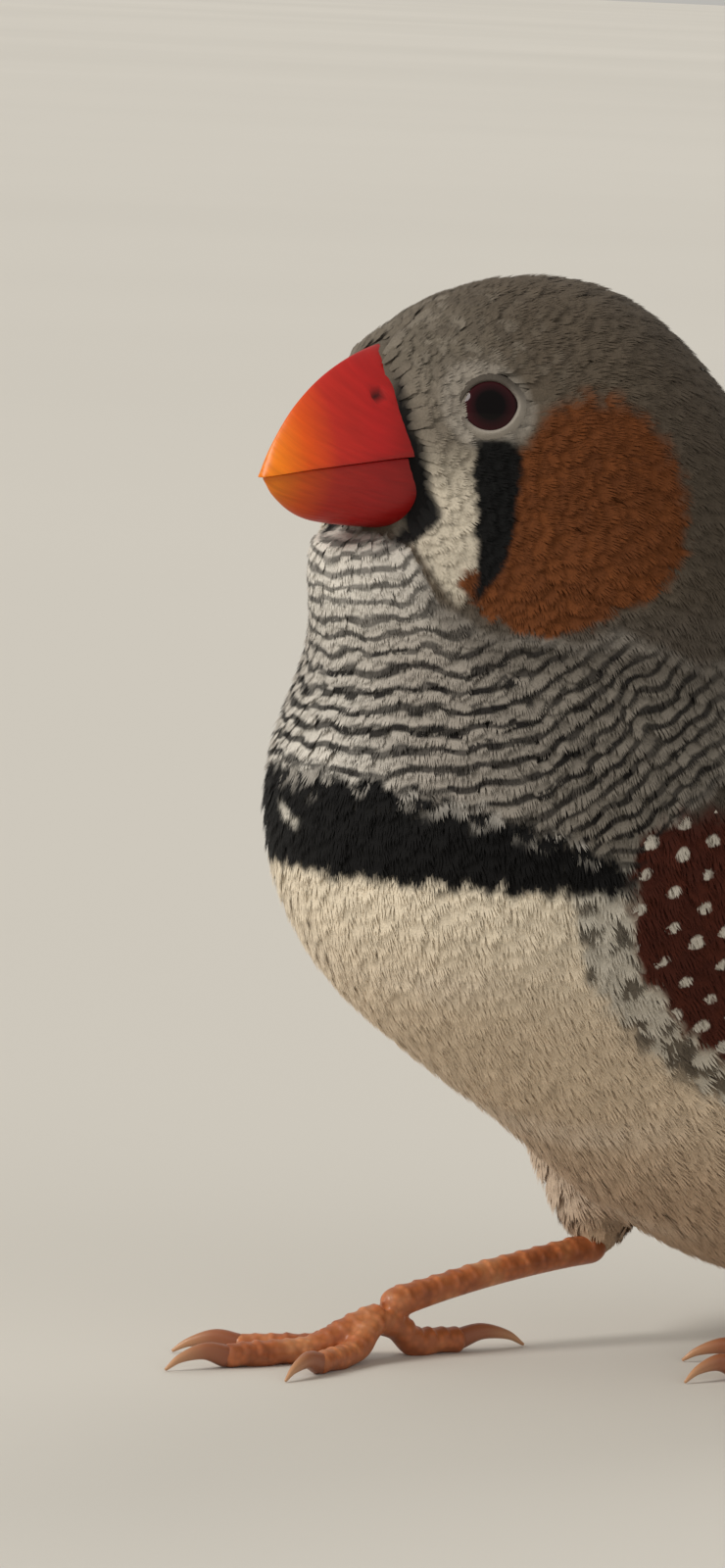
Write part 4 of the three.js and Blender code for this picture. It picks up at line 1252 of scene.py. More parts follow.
# %% Lid skin
lid_finish = new_material("bare lid skin, finely creased")
bumps = add_node(lid_finish, "ShaderNodeTexVoronoi", {"Scale": 4200.0, "Randomness": 0.9})
own_tone = add_node(lid_finish, "ShaderNodeAttribute", {"attribute_name": "plumage"})
lid_tone = add_node(lid_finish, "ShaderNodeMapRange", {"From Max": 0.6, "To Min": 1.1, "To Max": 0.75},
                    Value=bumps.outputs["Distance"])
lid_colour = add_node(lid_finish, "ShaderNodeVectorMath", {"operation": "SCALE"},
                      _0=own_tone.outputs["Color"], Scale=lid_tone.outputs[0])
lid_relief = add_node(lid_finish, "ShaderNodeBump", {"Strength": 0.5, "Distance": 0.00008},
                      Height=bumps.outputs["Distance"])
surface(lid_finish, {"Roughness": 0.7, "IOR": 1.4, "Specular IOR Level": 0.3},
        Base_Color=lid_colour.outputs[0], Normal=lid_relief.outputs["Normal"])
print("lid nodes:", len(lid_finish.node_tree.nodes))

# %% Eyelids
LID_SECTION = [(-0.02, -0.25), (-0.05, 0.02), (0.0, 0.10), (0.07, 0.14), (0.15, 0.13), (0.24, 0.07),
               (0.34, -0.04), (0.46, -0.2), (0.55, -0.5)]
LID_ROWS = 96
for side, (centre, out, edge) in EYES.items():
    front = unit(on_head(1, 0, 0) - on_head(0, 0, 0))
    front = unit(front - out * (front @ out))
    top = unit(np.cross(out, front)) * (1 if np.cross(out, front)[2] > 0 else -1)
    rings, tones = [], []
    for turn in np.linspace(0, 2 * math.pi, LID_ROWS, endpoint=False):
        pale = rise_between(np.array(-math.sin(turn) - 0.45 * math.cos(turn)), -0.5, 0.8)
        tones += [paint("#5d554c") * (1 - pale) + paint("#b3aa9e") * pale] * len(LID_SECTION)
        corner = 0.12 * abs(math.cos(turn)) ** 14
        opening = EYE["opening"] * (1 - 0.05 * abs(math.sin(turn)) ** 2) + corner
        spoke = front * math.cos(turn) + top * math.sin(turn)
        beads = 0.018 * math.sin(turn * 34)
        on_ball = math.sqrt(EYE["radius"] ** 2 - opening ** 2)
        for far, high in LID_SECTION:
            level = on_ball + high + beads * (0 < far < 0.4) - 0.25 * max(far, 0)
            rings.append(centre + spoke * (opening + far) + out * level)
    columns = len(LID_SECTION)
    first = (LID_ROWS - 1) * columns
    seam = [[first + c, first + c + 1, c + 1, c] for c in range(columns - 1)]
    lids = build(f"eyelids_{side}", np.array(rings), np.vstack([grid_faces(LID_ROWS, columns), seam]),
                 lid_finish, layers={"plumage": shade(np.array(tones))})
print("lids are", LID_SECTION[-2][0], "mm wide")

# %% [markdown]
# ## Bill
# A finch's bill is a deep cone in two halves. Each half is a loft of sections across the head's forward
# line, with a rounded ridge and a cutting edge. The gap between the halves is the line of the mouth. Small
# round nostrils sink in at the base, half under the first feathers. A subdivided box would round off the
# cutting edges, which a loft keeps.


# %% Smooth lines
def along(knots, x):
    """A smooth line through knots, read at x."""
    at = np.array([knot[0] for knot in knots], float)
    value = np.array([knot[1] for knot in knots], float)
    x = np.atleast_1d(np.asarray(x, float))
    i = np.clip(np.searchsorted(at, x, side="left") - 1, 0, len(at) - 2)
    width = at[i + 1] - at[i]
    t = np.clip((x - at[i]) / width, 0, 1)
    before, after = np.maximum(i - 1, 0), np.minimum(i + 2, len(at) - 1)
    slope0 = (value[i + 1] - value[before]) / (at[i + 1] - at[before])
    slope1 = (value[after] - value[i]) / (at[after] - at[i])
    return (value[i] * (2 * t ** 3 - 3 * t ** 2 + 1) + slope0 * width * (t ** 3 - 2 * t ** 2 + t)
            + value[i + 1] * (3 * t ** 2 - 2 * t ** 3) + slope1 * width * (t ** 3 - t ** 2))


print("half way along, the ridge is", round(float(along(CULMEN, 14.2)[0]), 2), "mm over the head's centre")

# %% Bill shape
BILL_ROWS, BILL_COLUMNS = 56, 64
NOSTRIL = {"ahead": 11.6, "side": 1.95, "over": 2.2, "radius": 0.36}
SLIT = 0.05  # half the gap between the halves


def nostril_depth(flat, side, inward=0.0, down=0.0):
    """1 in the middle of a nostril and 0 past its rim, and the distance from its middle."""
    middle = (NOSTRIL["ahead"], side * (NOSTRIL["side"] - inward), NOSTRIL["over"] - down)
    gap = np.linalg.norm(flat - np.array(middle), axis=1)
    return np.exp(-(gap / NOSTRIL["radius"]) ** 4), gap


def bill_half(upper):
    """One half: its points, and the same points in the head's own directions."""
    sign = 1 if upper else -1
    profile = CULMEN if upper else KEEL
    ahead = profile[0][0] + (profile[-1][0] - profile[0][0]) * np.linspace(0, 1, BILL_ROWS) ** 0.75
    edge = along(MOUTH, ahead) + sign * SLIT
    height = sign * np.maximum(sign * (along(profile, ahead) - edge), 0.12)
    width = along(BILL_WIDTH, ahead) if upper else 0.95 * along(BILL_WIDTH, ahead + 0.35)
    power = 2 / fullness(ahead, upper)[:, None]
    turn = np.linspace(0, 2 * math.pi, BILL_COLUMNS, endpoint=False)[None]
    c, s = np.cos(turn), np.sin(turn)
    climb = np.where(s >= 0, np.abs(s) ** power, 0)
    rounded_edge = np.where(s < 0, 0.04 * np.abs(s) ** 0.5, 0)
    flat = np.stack([np.broadcast_to(ahead[:, None], climb.shape),
                     width[:, None] * np.sign(c) * np.abs(c) ** power,
                     edge[:, None] + height[:, None] * climb - sign * rounded_edge], -1).reshape(-1, 3)
    for side in (-1, 1):
        hole, gap = nostril_depth(flat, side)
        rim = np.exp(-((gap - 0.62) / 0.16) ** 2)
        flat[:, 1] += upper * side * (0.03 * rim - 0.3 * hole)
        flat[:, 2] -= upper * 0.15 * hole
    return np.array([on_head(*point) for point in flat]), flat


print("each half has", BILL_ROWS * BILL_COLUMNS, "corners")

# %% [markdown]
# ## Horn of the bill
# The bill is bone under keratin that grew in thin waxy layers. That gives it a broad soft highlight, a
# little light that glows through its edges, deep red at the base and more orange at the tip. Keratin's IOR
# is 1.54. Growth lines run along it about a quarter of a millimetre apart. The wax has a grain of a hundredth
# of a millimetre, 700 cells across a half, which shows only as a softer shine. Painted shade darkens the
# nostril holes and the lower half, as if in the upper one's shade.

# %% Horn
horn_red = new_material("waxy red keratin, grown")
values = add_node(horn_red, "ShaderNodeAttribute", {"attribute_name": "pattern"})
parts = add_node(horn_red, "ShaderNodeSeparateXYZ", None, Vector=values.outputs["Vector"])
cloud = add_node(horn_red, "ShaderNodeTexNoise", {"Scale": 700.0, "Detail": 4.0})
uneven = add_node(horn_red, "ShaderNodeMath", {"operation": "MULTIPLY_ADD", 1: 0.16},
                  _0=cloud.outputs["Fac"], _2=parts.outputs["X"])
red = ramp(horn_red, uneven.outputs[0], [
    (0.0, paint("#560c09")), (0.17, paint("#92100e")), (0.42, paint("#a81816")),
    (0.66, paint("#b3261a")), (0.84, paint("#d4500c")), (1.0, paint("#e47a10"))])
stretch = add_node(horn_red, "ShaderNodeVectorMath", {"operation": "MULTIPLY", 1: (5.0, 34.0, 1.0)},
                   _0=values.outputs["Vector"])
growth = add_node(horn_red, "ShaderNodeTexNoise", {"Scale": 1.0, "Detail": 3.0}, Vector=stretch.outputs[0])
streaks = add_node(horn_red, "ShaderNodeMapRange",
                   {"From Min": 0.3, "From Max": 0.7, "To Min": 0.88, "To Max": 1.1},
                   Value=growth.outputs["Fac"])
# painted shade: the third pattern value darkens the lower half and the nostril holes
hole = add_node(horn_red, "ShaderNodeMath", {"operation": "MULTIPLY"},
                _0=streaks.outputs[0], _1=parts.outputs["Z"])
red_final = add_node(horn_red, "ShaderNodeVectorMath", {"operation": "SCALE"},
                     _0=red, Scale=hole.outputs[0])
waxy = add_node(horn_red, "ShaderNodeMapRange",
                {"From Min": 0.3, "From Max": 0.7, "To Min": 0.3, "To Max": 0.46}, Value=cloud.outputs["Fac"])
grooves = add_node(horn_red, "ShaderNodeBump", {"Strength": 0.25, "Distance": 0.0001},
                   Height=growth.outputs["Fac"])
surface(horn_red, {"IOR": 1.54, "Specular IOR Level": 0.26, "Coat Weight": 0.08, "Coat Roughness": 0.22,
                   "Subsurface Weight": 0.15, "Subsurface Scale": 0.0006},
        Base_Color=red_final.outputs[0], Roughness=waxy.outputs[0], Normal=grooves.outputs["Normal"])
print("horn nodes:", len(horn_red.node_tree.nodes))

# %% Bill halves
for name, is_upper in (("upper", True), ("lower", False)):
    points, flat = bill_half(is_upper)
    reach = np.clip((flat[:, 0] - 9.3) / 8.2, 0, 1)
    round_it = flat[:, 2] * 0.12 + np.abs(flat[:, 1]) * 0.1
    painted_light_level = np.full(len(flat), 1.0 if is_upper else 0.84)  # painted shade: the lower half, as if in the upper one's shade
    # painted shade in the nostril holes
    for side in (-1, 1):
        painted_light_level *= 1 - 0.85 * nostril_depth(flat, side, inward=0.35, down=0.2)[0]
    half_bill = build(f"bill_{name}_horn", points, capped(BILL_ROWS, BILL_COLUMNS), horn_red,
                      layers={"pattern": np.stack([reach, round_it, painted_light_level], -1)})
    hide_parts(f"bill_{name}")
print("bill", round(CULMEN[-1][0] - CULMEN[1][0], 1), "mm long in front of the feathers")

# %% [markdown]
# ## Shanks and toes
# A finch's leg below the heel is a thin rod of bone and sinew in horny skin, with flat plates down the front
# of the shank and over each toe, and soft pads below. Each rod is swept along a line, and its radius steps up
# at every plate. Plates could be modelled one by one, but they lie too flat to tell.


# %% Sweep
def sweep(centre, radius, columns, shape):
    """A closed tube of points round a line. shape(t, turn) scales its radius; turn is 0 on top."""
    way = unit(np.gradient(centre, axis=0))
    across = unit(np.cross(np.array([0, 0, 1.0]), way))
    over = np.cross(way, across)
    turn = np.linspace(0, 2 * math.pi, columns, endpoint=False)
    t = np.linspace(0, 1, len(centre))
    size = radius[:, None] * shape(t[:, None], turn[None])
    spots = centre[:, None] + size[..., None] * (across[:, None] * np.sin(turn)[None, :, None]
                                                 + over[:, None] * np.cos(turn)[None, :, None])
    return spots.reshape(-1, 3)


def plated(plates, lift):
    """A radius that steps at each plate on the upper side."""
    def shape(t, turn):
        on_top = np.clip(np.cos(turn) * 1.4 + 0.35, 0, 1)
        step = (t * plates) % 1
        return 1 + lift * on_top * (step ** 3 - 0.3)
    return shape


print("a plate steps up by", round(0.15 * 0.74, 2), "mm on the shank")

# %% Toes
TOES = [
    {"name": "inner", "turn": -27, "length": 6.8, "radius": 0.72, "claw": 2.9, "pads": 3},
    {"name": "middle", "turn": 2, "length": 9.8, "radius": 0.78, "claw": 3.1, "pads": 4},
    {"name": "outer", "turn": 27, "length": 7.9, "radius": 0.70, "claw": 2.9, "pads": 4},
    {"name": "hind", "turn": 180, "length": 5.4, "radius": 0.82, "claw": 3.8, "pads": 2},
]
TOE_ROWS, TOE_COLUMNS = 60, 20
PLATE_LENGTH = 0.85


def toe_line(side, toe):
    """The middle line of a toe from the ankle to its end, and the way it points."""
    leg = LEGS[side]
    ankle = np.array(leg["ankle"])
    angle = math.radians(leg["heading"] + (toe["turn"] if side == "left" else -toe["turn"]))
    way = np.array([math.sin(angle), -math.cos(angle), 0])
    rest = toe["radius"] - 0.2

    def at(share, height):
        spot = ankle + way * toe["length"] * share
        spot[2] = height
        return spot

    knots = [ankle + (0, 0, -0.5), at(0.2, ankle[2] * 0.45 + rest * 0.55), at(0.42, rest + 0.12),
             at(0.68, rest + 0.04), at(1, rest + 0.02)]
    return polyline(knots, TOE_ROWS), way


def toe_shape(toe):
    """Plates above, soft pads below and a round end."""
    scales = plated(toe["length"] / PLATE_LENGTH, 0.17)

    def shape(t, turn):
        below = np.clip(-np.cos(turn), 0, 1)
        pad = np.cos(2 * math.pi * toe["pads"] * t) * (t < 0.98)
        end = np.where(t > 0.9, np.sqrt(np.maximum(1 - ((t - 0.9) / 0.115) ** 2, 0.04)), 1)
        return scales(t, turn) * (1 + 0.13 * below * pad) * (1.04 - 0.2 * t) * end
    return shape


print("toes", [toe["length"] for toe in TOES], "mm long without their claws")

# %% [markdown]
# ## Skin of the legs
# On the bird, shank, ankle and toes share one skin. A fine voxel remesh melts the rods into one, which a
# boolean union would leave with hard creases. The skin is orange and horny, with fine scales between the
# plates, about 0.4 mm across. It has a dull waxy highlight, creases between the scales darkened with painted
# shade, and a faint glow. Its IOR is 1.5.

# %% Melted rods
VOXEL = 0.11


def melted(parts, voxel):
    """One skin round several closed tubes, as points and quads in mm."""
    mesh = bpy.data.meshes.new("parts")
    points = np.vstack([part[0] for part in parts])
    faces, first = [], 0
    for spots, blocks in parts:
        for block in blocks:
            faces += (np.asarray(block) + first).tolist()
        first += len(spots)
    mesh.from_pydata(points.tolist(), [], faces)
    holder = bpy.data.objects.new("parts", mesh)
    bpy.context.scene.collection.objects.link(holder)
    net = holder.modifiers.new("one skin", "REMESH")
    net.mode = "VOXEL"
    net.voxel_size = voxel
    soft = holder.modifiers.new("soft joins", "SMOOTH")
    soft.factor = 0.5
    soft.iterations = 1
    found = arrays_of(holder)
    bpy.data.objects.remove(holder)
    return found


print("rods melt into one skin of", VOXEL, "mm quads")

# %% Leg skin
leg_finish = new_material("scaled orange skin")
spot_on = add_node(leg_finish, "ShaderNodeTexCoord")
patches = add_node(leg_finish, "ShaderNodeTexNoise", {"Scale": 500.0, "Detail": 3.0},
                   Vector=spot_on.outputs["Object"])
scale_cells = add_node(leg_finish, "ShaderNodeTexVoronoi", {"Scale": 2300.0},
                       Vector=spot_on.outputs["Object"])
orange = ramp(leg_finish, patches.outputs["Fac"], [
    (0.3, paint("#94502c")), (0.5, paint("#b06438")), (0.7, paint("#c48254"))])
# painted shade: the colour darkens along the creases between the scales
painted_crease_shade = add_node(leg_finish, "ShaderNodeMapRange",
                   {"From Min": 0.1, "From Max": 0.6, "To Min": 1.08, "To Max": 0.8},
                   Value=scale_cells.outputs["Distance"])
leg_final = add_node(leg_finish, "ShaderNodeVectorMath", {"operation": "SCALE"},
                     _0=orange, Scale=painted_crease_shade.outputs[0])
leg_relief = add_node(leg_finish, "ShaderNodeBump", {"invert": True, "Strength": 0.35, "Distance": 0.0001},
                      Height=scale_cells.outputs["Distance"])
surface(leg_finish, {"Roughness": 0.42, "IOR": 1.5, "Subsurface Weight": 0.12, "Subsurface Scale": 0.0005},
        Base_Color=leg_final.outputs[0], Normal=leg_relief.outputs["Normal"])
print("leg nodes:", len(leg_finish.node_tree.nodes))

# %% Legs
SHANK = {"rows": 120, "columns": 24, "radius": 0.74, "plates": 13}
CREASE = {"rows": 14, "columns": 20, "reach": 1.08}


def shank(heel, ankle):
    """The shank as a closed tube, thicker and rounded at both ends."""
    way = unit(ankle - heel)
    line = polyline([heel - way * 0.4, (heel + ankle) / 2 + (0, 0, 0.2), ankle - way * 0.2], SHANK["rows"])
    from_middle = np.abs(np.linspace(-1, 1, SHANK["rows"]))
    thick = SHANK["radius"] * (1 + 0.28 * from_middle ** 4)
    thick *= np.sqrt(1 - (np.maximum(from_middle - 0.85, 0) / 0.155) ** 2)
    return (sweep(line, thick, SHANK["columns"], plated(SHANK["plates"], 0.15)),
            capped(SHANK["rows"], SHANK["columns"]))


def crease(joint):
    """An upright line through a joint, as a tube of no width, which melts into a fine crease of skin."""
    height = CREASE["reach"] * np.cos(np.linspace(0.02, math.pi - 0.02, CREASE["rows"]))
    line = joint + np.outer(height, (0, 0, 1.0))
    return np.repeat(line, CREASE["columns"], axis=0), capped(CREASE["rows"], CREASE["columns"])


for side, leg in LEGS.items():
    heel, ankle = np.array(leg["heel"]), np.array(leg["ankle"])
    parts = [shank(heel, ankle), crease(ankle + (0, 0, -0.45)), crease(heel + unit(ankle - heel) * 0.1)]
    for toe in TOES:
        spots = sweep(toe_line(side, toe)[0], np.full(TOE_ROWS, toe["radius"]), TOE_COLUMNS, toe_shape(toe))
        parts.append((spots, capped(TOE_ROWS, TOE_COLUMNS)))
    points, quads = melted(parts, VOXEL)
    points[:, 2] = np.maximum(points[:, 2], 0)
    foot = build(f"leg_{side}_skin", points, quads, leg_finish)
    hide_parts(f"tarsus_{side}", f"foot_{side}")
    print("leg", side, triangles_in(foot), "triangles")

# %% [markdown]
# ## Claws
# A claw is thin curved horn, thick and brown at the root and paler towards the point. It is worn smooth, so
# it shines more than the toe, with a grain too fine to see. One small sweep a toe narrows and hooks down to
# the floor.

# %% Claw horn
claw_horn = new_material("brown claw horn")
grain_at = add_node(claw_horn, "ShaderNodeAttribute", {"attribute_name": "pattern"})
claw_part = add_node(claw_horn, "ShaderNodeSeparateXYZ", None, Vector=grain_at.outputs["Vector"])
claw_noise = add_node(claw_horn, "ShaderNodeTexNoise", {"Scale": 1500.0, "Detail": 2.0})
claw_mix = add_node(claw_horn, "ShaderNodeMath", {"operation": "MULTIPLY_ADD", 1: 0.25},
                    _0=claw_noise.outputs["Fac"], _2=claw_part.outputs["X"])
claw_tone = ramp(claw_horn, claw_mix.outputs[0], [
    (0.0, paint("#84482f")), (0.5, paint("#965c3e")), (1.0, paint("#bb8c66"))])
claw_bump = add_node(claw_horn, "ShaderNodeBump", {"Strength": 0.2, "Distance": 0.00005},
                     Height=claw_noise.outputs["Fac"])
surface(claw_horn, {"Roughness": 0.32, "IOR": 1.54},
        Base_Color=claw_tone, Normal=claw_bump.outputs["Normal"])
print("claw nodes:", len(claw_horn.node_tree.nodes))

# %% Claws
CLAW_ROWS, CLAW_COLUMNS = 28, 16


def tall_section(t, turn):
    """A section a little taller than it is wide."""
    return 1 + 0.12 * np.cos(2 * turn) + 0 * t


for side in LEGS:
    for toe in TOES:
        line, way = toe_line(side, toe)
        start = line[-1] - way * 0.35
        reach = way * (toe["claw"] + 0.55)
        tip = np.array([*(start + reach)[:2], 0.09])
        hook = polyline([start, start + reach * 0.35 + (0, 0, 0.34), start + reach * 0.75 + (0, 0, 0.05),
                         tip], CLAW_ROWS)
        t = np.linspace(0, 1, CLAW_ROWS)
        points = sweep(hook, 0.46 * (1 - t ** 1.25) + 0.07, CLAW_COLUMNS, tall_section)
        points[:, 2] = np.maximum(points[:, 2], 0)
        from_root = np.repeat(t, CLAW_COLUMNS)
        claw = build(f"claw_{side}_{toe['name']}_horn", points, capped(CLAW_ROWS, CLAW_COLUMNS), claw_horn,
                     layers={"pattern": np.stack([from_root] * 3, -1)})
        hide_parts(f"claw_{side}_{toe['name']}")
print("claws", [toe["claw"] for toe in TOES], "mm long")

# %% [markdown]
# ## Flight feathers
# A wing or tail feather is a firm vane with a shaft off its middle. Barbs run out from the shaft towards the
# tip and lock into a smooth sheet, firmer and a little glossier than body feathers. Each is drawn as a bent
# grid with a fine tube for its shaft. The barbs themselves are a bump and a tone in the material, every
# quarter of a millimetre, about four times as coarse as real ones, so that they show. Fine specks stand for
# wear, 900 cells along a wing.

# %% Vane material
BARB_GAP = 0.25
vane_finish = new_material("locked barbs of flight feathers")
own_colour = add_node(vane_finish, "ShaderNodeAttribute", {"attribute_name": "plumage"})
on_vane = add_node(vane_finish, "ShaderNodeAttribute", {"attribute_name": "pattern"})
vane_parts = add_node(vane_finish, "ShaderNodeSeparateXYZ", None, Vector=on_vane.outputs["Vector"])
from_shaft = add_node(vane_finish, "ShaderNodeMath", {"operation": "ABSOLUTE"}, _0=vane_parts.outputs["X"])
slant = add_node(vane_finish, "ShaderNodeMath", {"operation": "MULTIPLY_ADD", 1: -1.5},
                 _0=from_shaft.outputs[0], _2=vane_parts.outputs["Y"])
tight = add_node(vane_finish, "ShaderNodeMath", {"operation": "MULTIPLY", 1: 2 * math.pi / BARB_GAP},
                 _0=slant.outputs[0])
barb_wave = add_node(vane_finish, "ShaderNodeMath", {"operation": "SINE"}, _0=tight.outputs[0])
barb_tone = add_node(vane_finish, "ShaderNodeMapRange",
                     {"From Min": -1.0, "From Max": 1.0, "To Min": 0.9, "To Max": 1.08},
                     Value=barb_wave.outputs[0])
slow = add_node(vane_finish, "ShaderNodeTexNoise", {"Scale": 900.0, "Detail": 3.0})
worn = add_node(vane_finish, "ShaderNodeMapRange",
                {"From Min": 0.3, "From Max": 0.7, "To Min": 0.85, "To Max": 1.12},
                Value=slow.outputs["Fac"])
tone_both = add_node(vane_finish, "ShaderNodeMath", {"operation": "MULTIPLY"},
                     _0=barb_tone.outputs[0], _1=worn.outputs[0])
vane_colour = add_node(vane_finish, "ShaderNodeVectorMath", {"operation": "SCALE"},
                       _0=own_colour.outputs["Color"], Scale=tone_both.outputs[0])
vane_relief = add_node(vane_finish, "ShaderNodeBump", {"Strength": 0.3, "Distance": 0.00006},
                       Height=barb_wave.outputs[0])
surface(vane_finish, {"Roughness": 0.62, "IOR": 1.54, "Specular IOR Level": 0.35,
                      "Sheen Weight": 0.08, "Sheen Roughness": 0.4},
        Base_Color=vane_colour.outputs[0], Normal=vane_relief.outputs["Normal"])
print("vane nodes:", len(vane_finish.node_tree.nodes))

# %% One vane
ROWS, COLUMNS, SHAFT_COLUMNS = 22, 11, 5
OUTLINE = [(0, 0.35), (0.12, 0.62), (0.35, 0.9), (0.65, 1.0), (0.85, 0.9), (0.95, 0.62), (1.0, 0.12)]


def round_section(t, turn):
    return 1 + 0 * t + 0 * turn


def vane(place, across, out, half, base, edge, seed, low_share=0.85, tilt=0.16, camber=0.1, bars=None):
    """One feather as points, faces, colours and pattern values. across points to the upper edge."""
    pick = np.random.default_rng(seed + 1)
    t = np.linspace(0, 1, ROWS)
    a = np.linspace(-1, 1, COLUMNS)[None]
    width = half * level_at(OUTLINE, t)
    notch = 1 - 0.05 * pick.random((ROWS, 2)) * (t[:, None] > 0.2)
    split = np.exp(-((t - pick.uniform(0.4, 0.9)) / 0.02) ** 2) * pick.uniform(0, 0.3)
    low = width * low_share * notch[:, 0] * (1 - split)
    high = width * (2 - low_share) * notch[:, 1]
    off = np.where(a < 0, a * low[:, None], a * high[:, None])
    lean = unit(across - out * tilt)
    points = place[:, None] + lean[:, None] * off[..., None] - out[:, None] * (camber * half * a.T ** 2)
    length = np.concatenate([[0], np.cumsum(np.linalg.norm(np.diff(place, axis=0), axis=1))])
    pattern = np.stack([off, np.broadcast_to(length[:, None], off.shape), np.full(off.shape, pick.random())],
                       -1)
    rim = rise_between(np.abs(a), 0.62, 1.0) + rise_between(t[:, None], 0.93, 1.0)
    colours = blend(np.broadcast_to(paint(base), (*off.shape, 3)), paint(edge), np.clip(rim, 0, 1))
    if bars is not None:
        gap, phase, light = bars
        wave = np.sin(2 * math.pi * (length / gap + phase))[:, None] + 0.15 * a ** 2
        colours = blend(colours, paint(light), rise_between(wave, 0.0, 0.3))
    colours = colours * pick.uniform(0.9, 1.1)
    shaft = sweep(place + out * 0.05, half * (0.055 - 0.04 * t), SHAFT_COLUMNS, round_section)
    shaft_colours = np.tile(paint(base) * 0.55, (len(shaft), 1))
    tube = grid_faces(ROWS, SHAFT_COLUMNS, closed=True) + ROWS * COLUMNS
    return (np.vstack([points.reshape(-1, 3), shaft]), np.vstack([grid_faces(ROWS, COLUMNS), tube]),
            np.vstack([colours.reshape(-1, 3), shaft_colours]),
            np.vstack([pattern.reshape(-1, 3), np.zeros((len(shaft), 3))]))


print("a vane has", len(grid_faces(ROWS, COLUMNS)), "quads without its shaft")


# %% Bundles of vanes
def between(low, high, share):
    return low + (high - low) * share


def mirrored(feathers, sign):
    """Feathers made for the left, turned over to the right where sign is -1."""
    return [(points * (sign, 1, 1), quads[:, ::sign], colours, pattern)
            for points, quads, colours, pattern in feathers]


def bundle(name, feathers, nodes=()):
    """Several vanes as one piece."""
    firsts = np.cumsum([0] + [len(one[0]) for one in feathers])
    points, colours, pattern = (np.vstack([one[n] for one in feathers]) for n in (0, 2, 3))
    quads = np.vstack([one[1] + first for one, first in zip(feathers, firsts)])
    piece = build(name, points, quads, vane_finish, layers={"plumage": shade(colours), "pattern": pattern})
    if nodes:
        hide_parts(*nodes)
    print(name, len(feathers), "feathers,", triangles_in(piece), "triangles")


# %% [markdown]
# ## The wing as a sheet
# Folded, a wing is a thin sheet against the body. The sheet is found from the body's own surface, lifted a
# little, and runs straight to the tip where the body narrows. A flat plane would stand off the round back.


# %% Wing sheet
def wing_spot(y, degrees, lift):
    """Points of the left wing's sheet, `lift` above the body at height `degrees` round it."""
    y, degrees, lift = (np.ravel(v).astype(float) for v in np.broadcast_arrays(y, degrees, lift))
    angle = np.radians(degrees)
    z = along(WING_AXIS, y)
    low, high = np.zeros(len(y)), np.full(len(y), 24.0)
    for _ in range(22):
        middle = (low + high) / 2
        spots = np.stack([middle * np.cos(angle), y, z + middle * np.sin(angle)], -1)
        inside = flowing(spots, BODY_FORMS, 6) < 0
        low, high = np.where(inside, middle, low), np.where(inside, high, middle)
    straight = np.where(y > 8, between(13.5, 3.2, (y - 8) / 38), 13.5 - 0.25 * (8 - y))
    overlap = np.maximum(2.5 - np.abs(low - straight), 0) / 2.5
    radius = np.maximum(low, straight) + overlap ** 2 * 0.625 + lift
    return np.stack([radius * np.cos(angle), y, z + radius * np.sin(angle)], -1)


def wing_vane(start, end, lift, half, base, edge, seed, **more):
    """A feather of the left wing from its root to its tip, both as y and degrees."""
    t = np.linspace(0, 1, ROWS)
    y, degrees = between(start[0], end[0], t), between(start[1], end[1], t ** 0.9)
    rise = between(lift[0], lift[1], t)
    place = wing_spot(y, degrees, rise)
    out = unit(wing_spot(y, degrees, rise + 1) - place)
    across = unit(wing_spot(y, degrees + 3, rise) - place)
    return vane(place, across, out, half, base, edge, seed, **more)


print("the wing's tip is at", wing_spot(46, 24, 0.9).round(1).tolist())

# %% [markdown]
# ## Wing feathers
# The primaries lie lowest and reach furthest back, the secondaries cover them, and tiers of coverts cover
# their roots like tiles. Each row runs from a lowest feather to a highest one, so a row is two roots and two
# tips, as places along the body and degrees round it. A list of rows is easier to change than six loops.

# %% Rows of the wing
TIERS = [
    {"name": "primaries", "count": 8, "half": 2.2, "low_share": 0.5, "lift": (0.85, 0.9),
     "roots": [(3, -3), (3, 22)], "tips": [(46, 24), (31, 52)], "tones": ("#3a322a", "#665b4e")},
    {"name": "secondaries", "count": 9, "half": 2.6, "low_share": 0.75, "lift": (1.15, 1.2),
     "roots": [(2, 10), (2, 62)], "tips": [(32, 16), (21, 66)], "tones": ("#463c33", "#786c5d"),
     "level": 0.35},  # the lowest of them end in one line
    {"name": "greater coverts", "count": 10, "half": 1.75, "low_share": 0.9, "lift": (1.2, 1.55),
     "roots": [(-1.5, -8), (-1.5, 53)], "tips": [(8.5, -3), (6.5, 56)], "tones": ("#4b4137", "#7a6e60")},
    {"name": "median coverts", "count": 10, "half": 1.6, "low_share": 1.0, "lift": (1.0, 1.8),
     "roots": [(-4.8, -9), (-3.6, 47)], "tips": [(2.4, -5), (2.8, 51)], "tones": ("#4e453b", "#75695b")},
    {"name": "lesser coverts", "count": 11, "half": 1.3, "low_share": 1.0, "lift": (0.5, 1.85),
     "roots": [(-6.8, -4), (-5.2, 46)], "tips": [(-1.5, -3), (-0.4, 51)], "tones": ("#50473d", "#6f6456")},
    {"name": "edge coverts", "count": 9, "half": 1.15, "low_share": 1.0, "lift": (0.3, 1.5),
     "roots": [(-8.2, 4), (-6.6, 38)], "tips": [(-4.2, 4), (-3.2, 44)], "tones": ("#50473d", "#6b6053")},
]
for tier in TIERS:
    print(tier["count"], tier["name"], 2 * tier["half"], "mm wide")

# %% Wings
WING_SHADE_SHEET_LOW = [(-5.4, 6), (-1, -8), (5, -8), (15, -2), (29, 13)]
WING_SHADE_SHEET_HIGH = [(-5.4, 34), (-1, 52), (5, 63), (15, 67), (29, 61)]


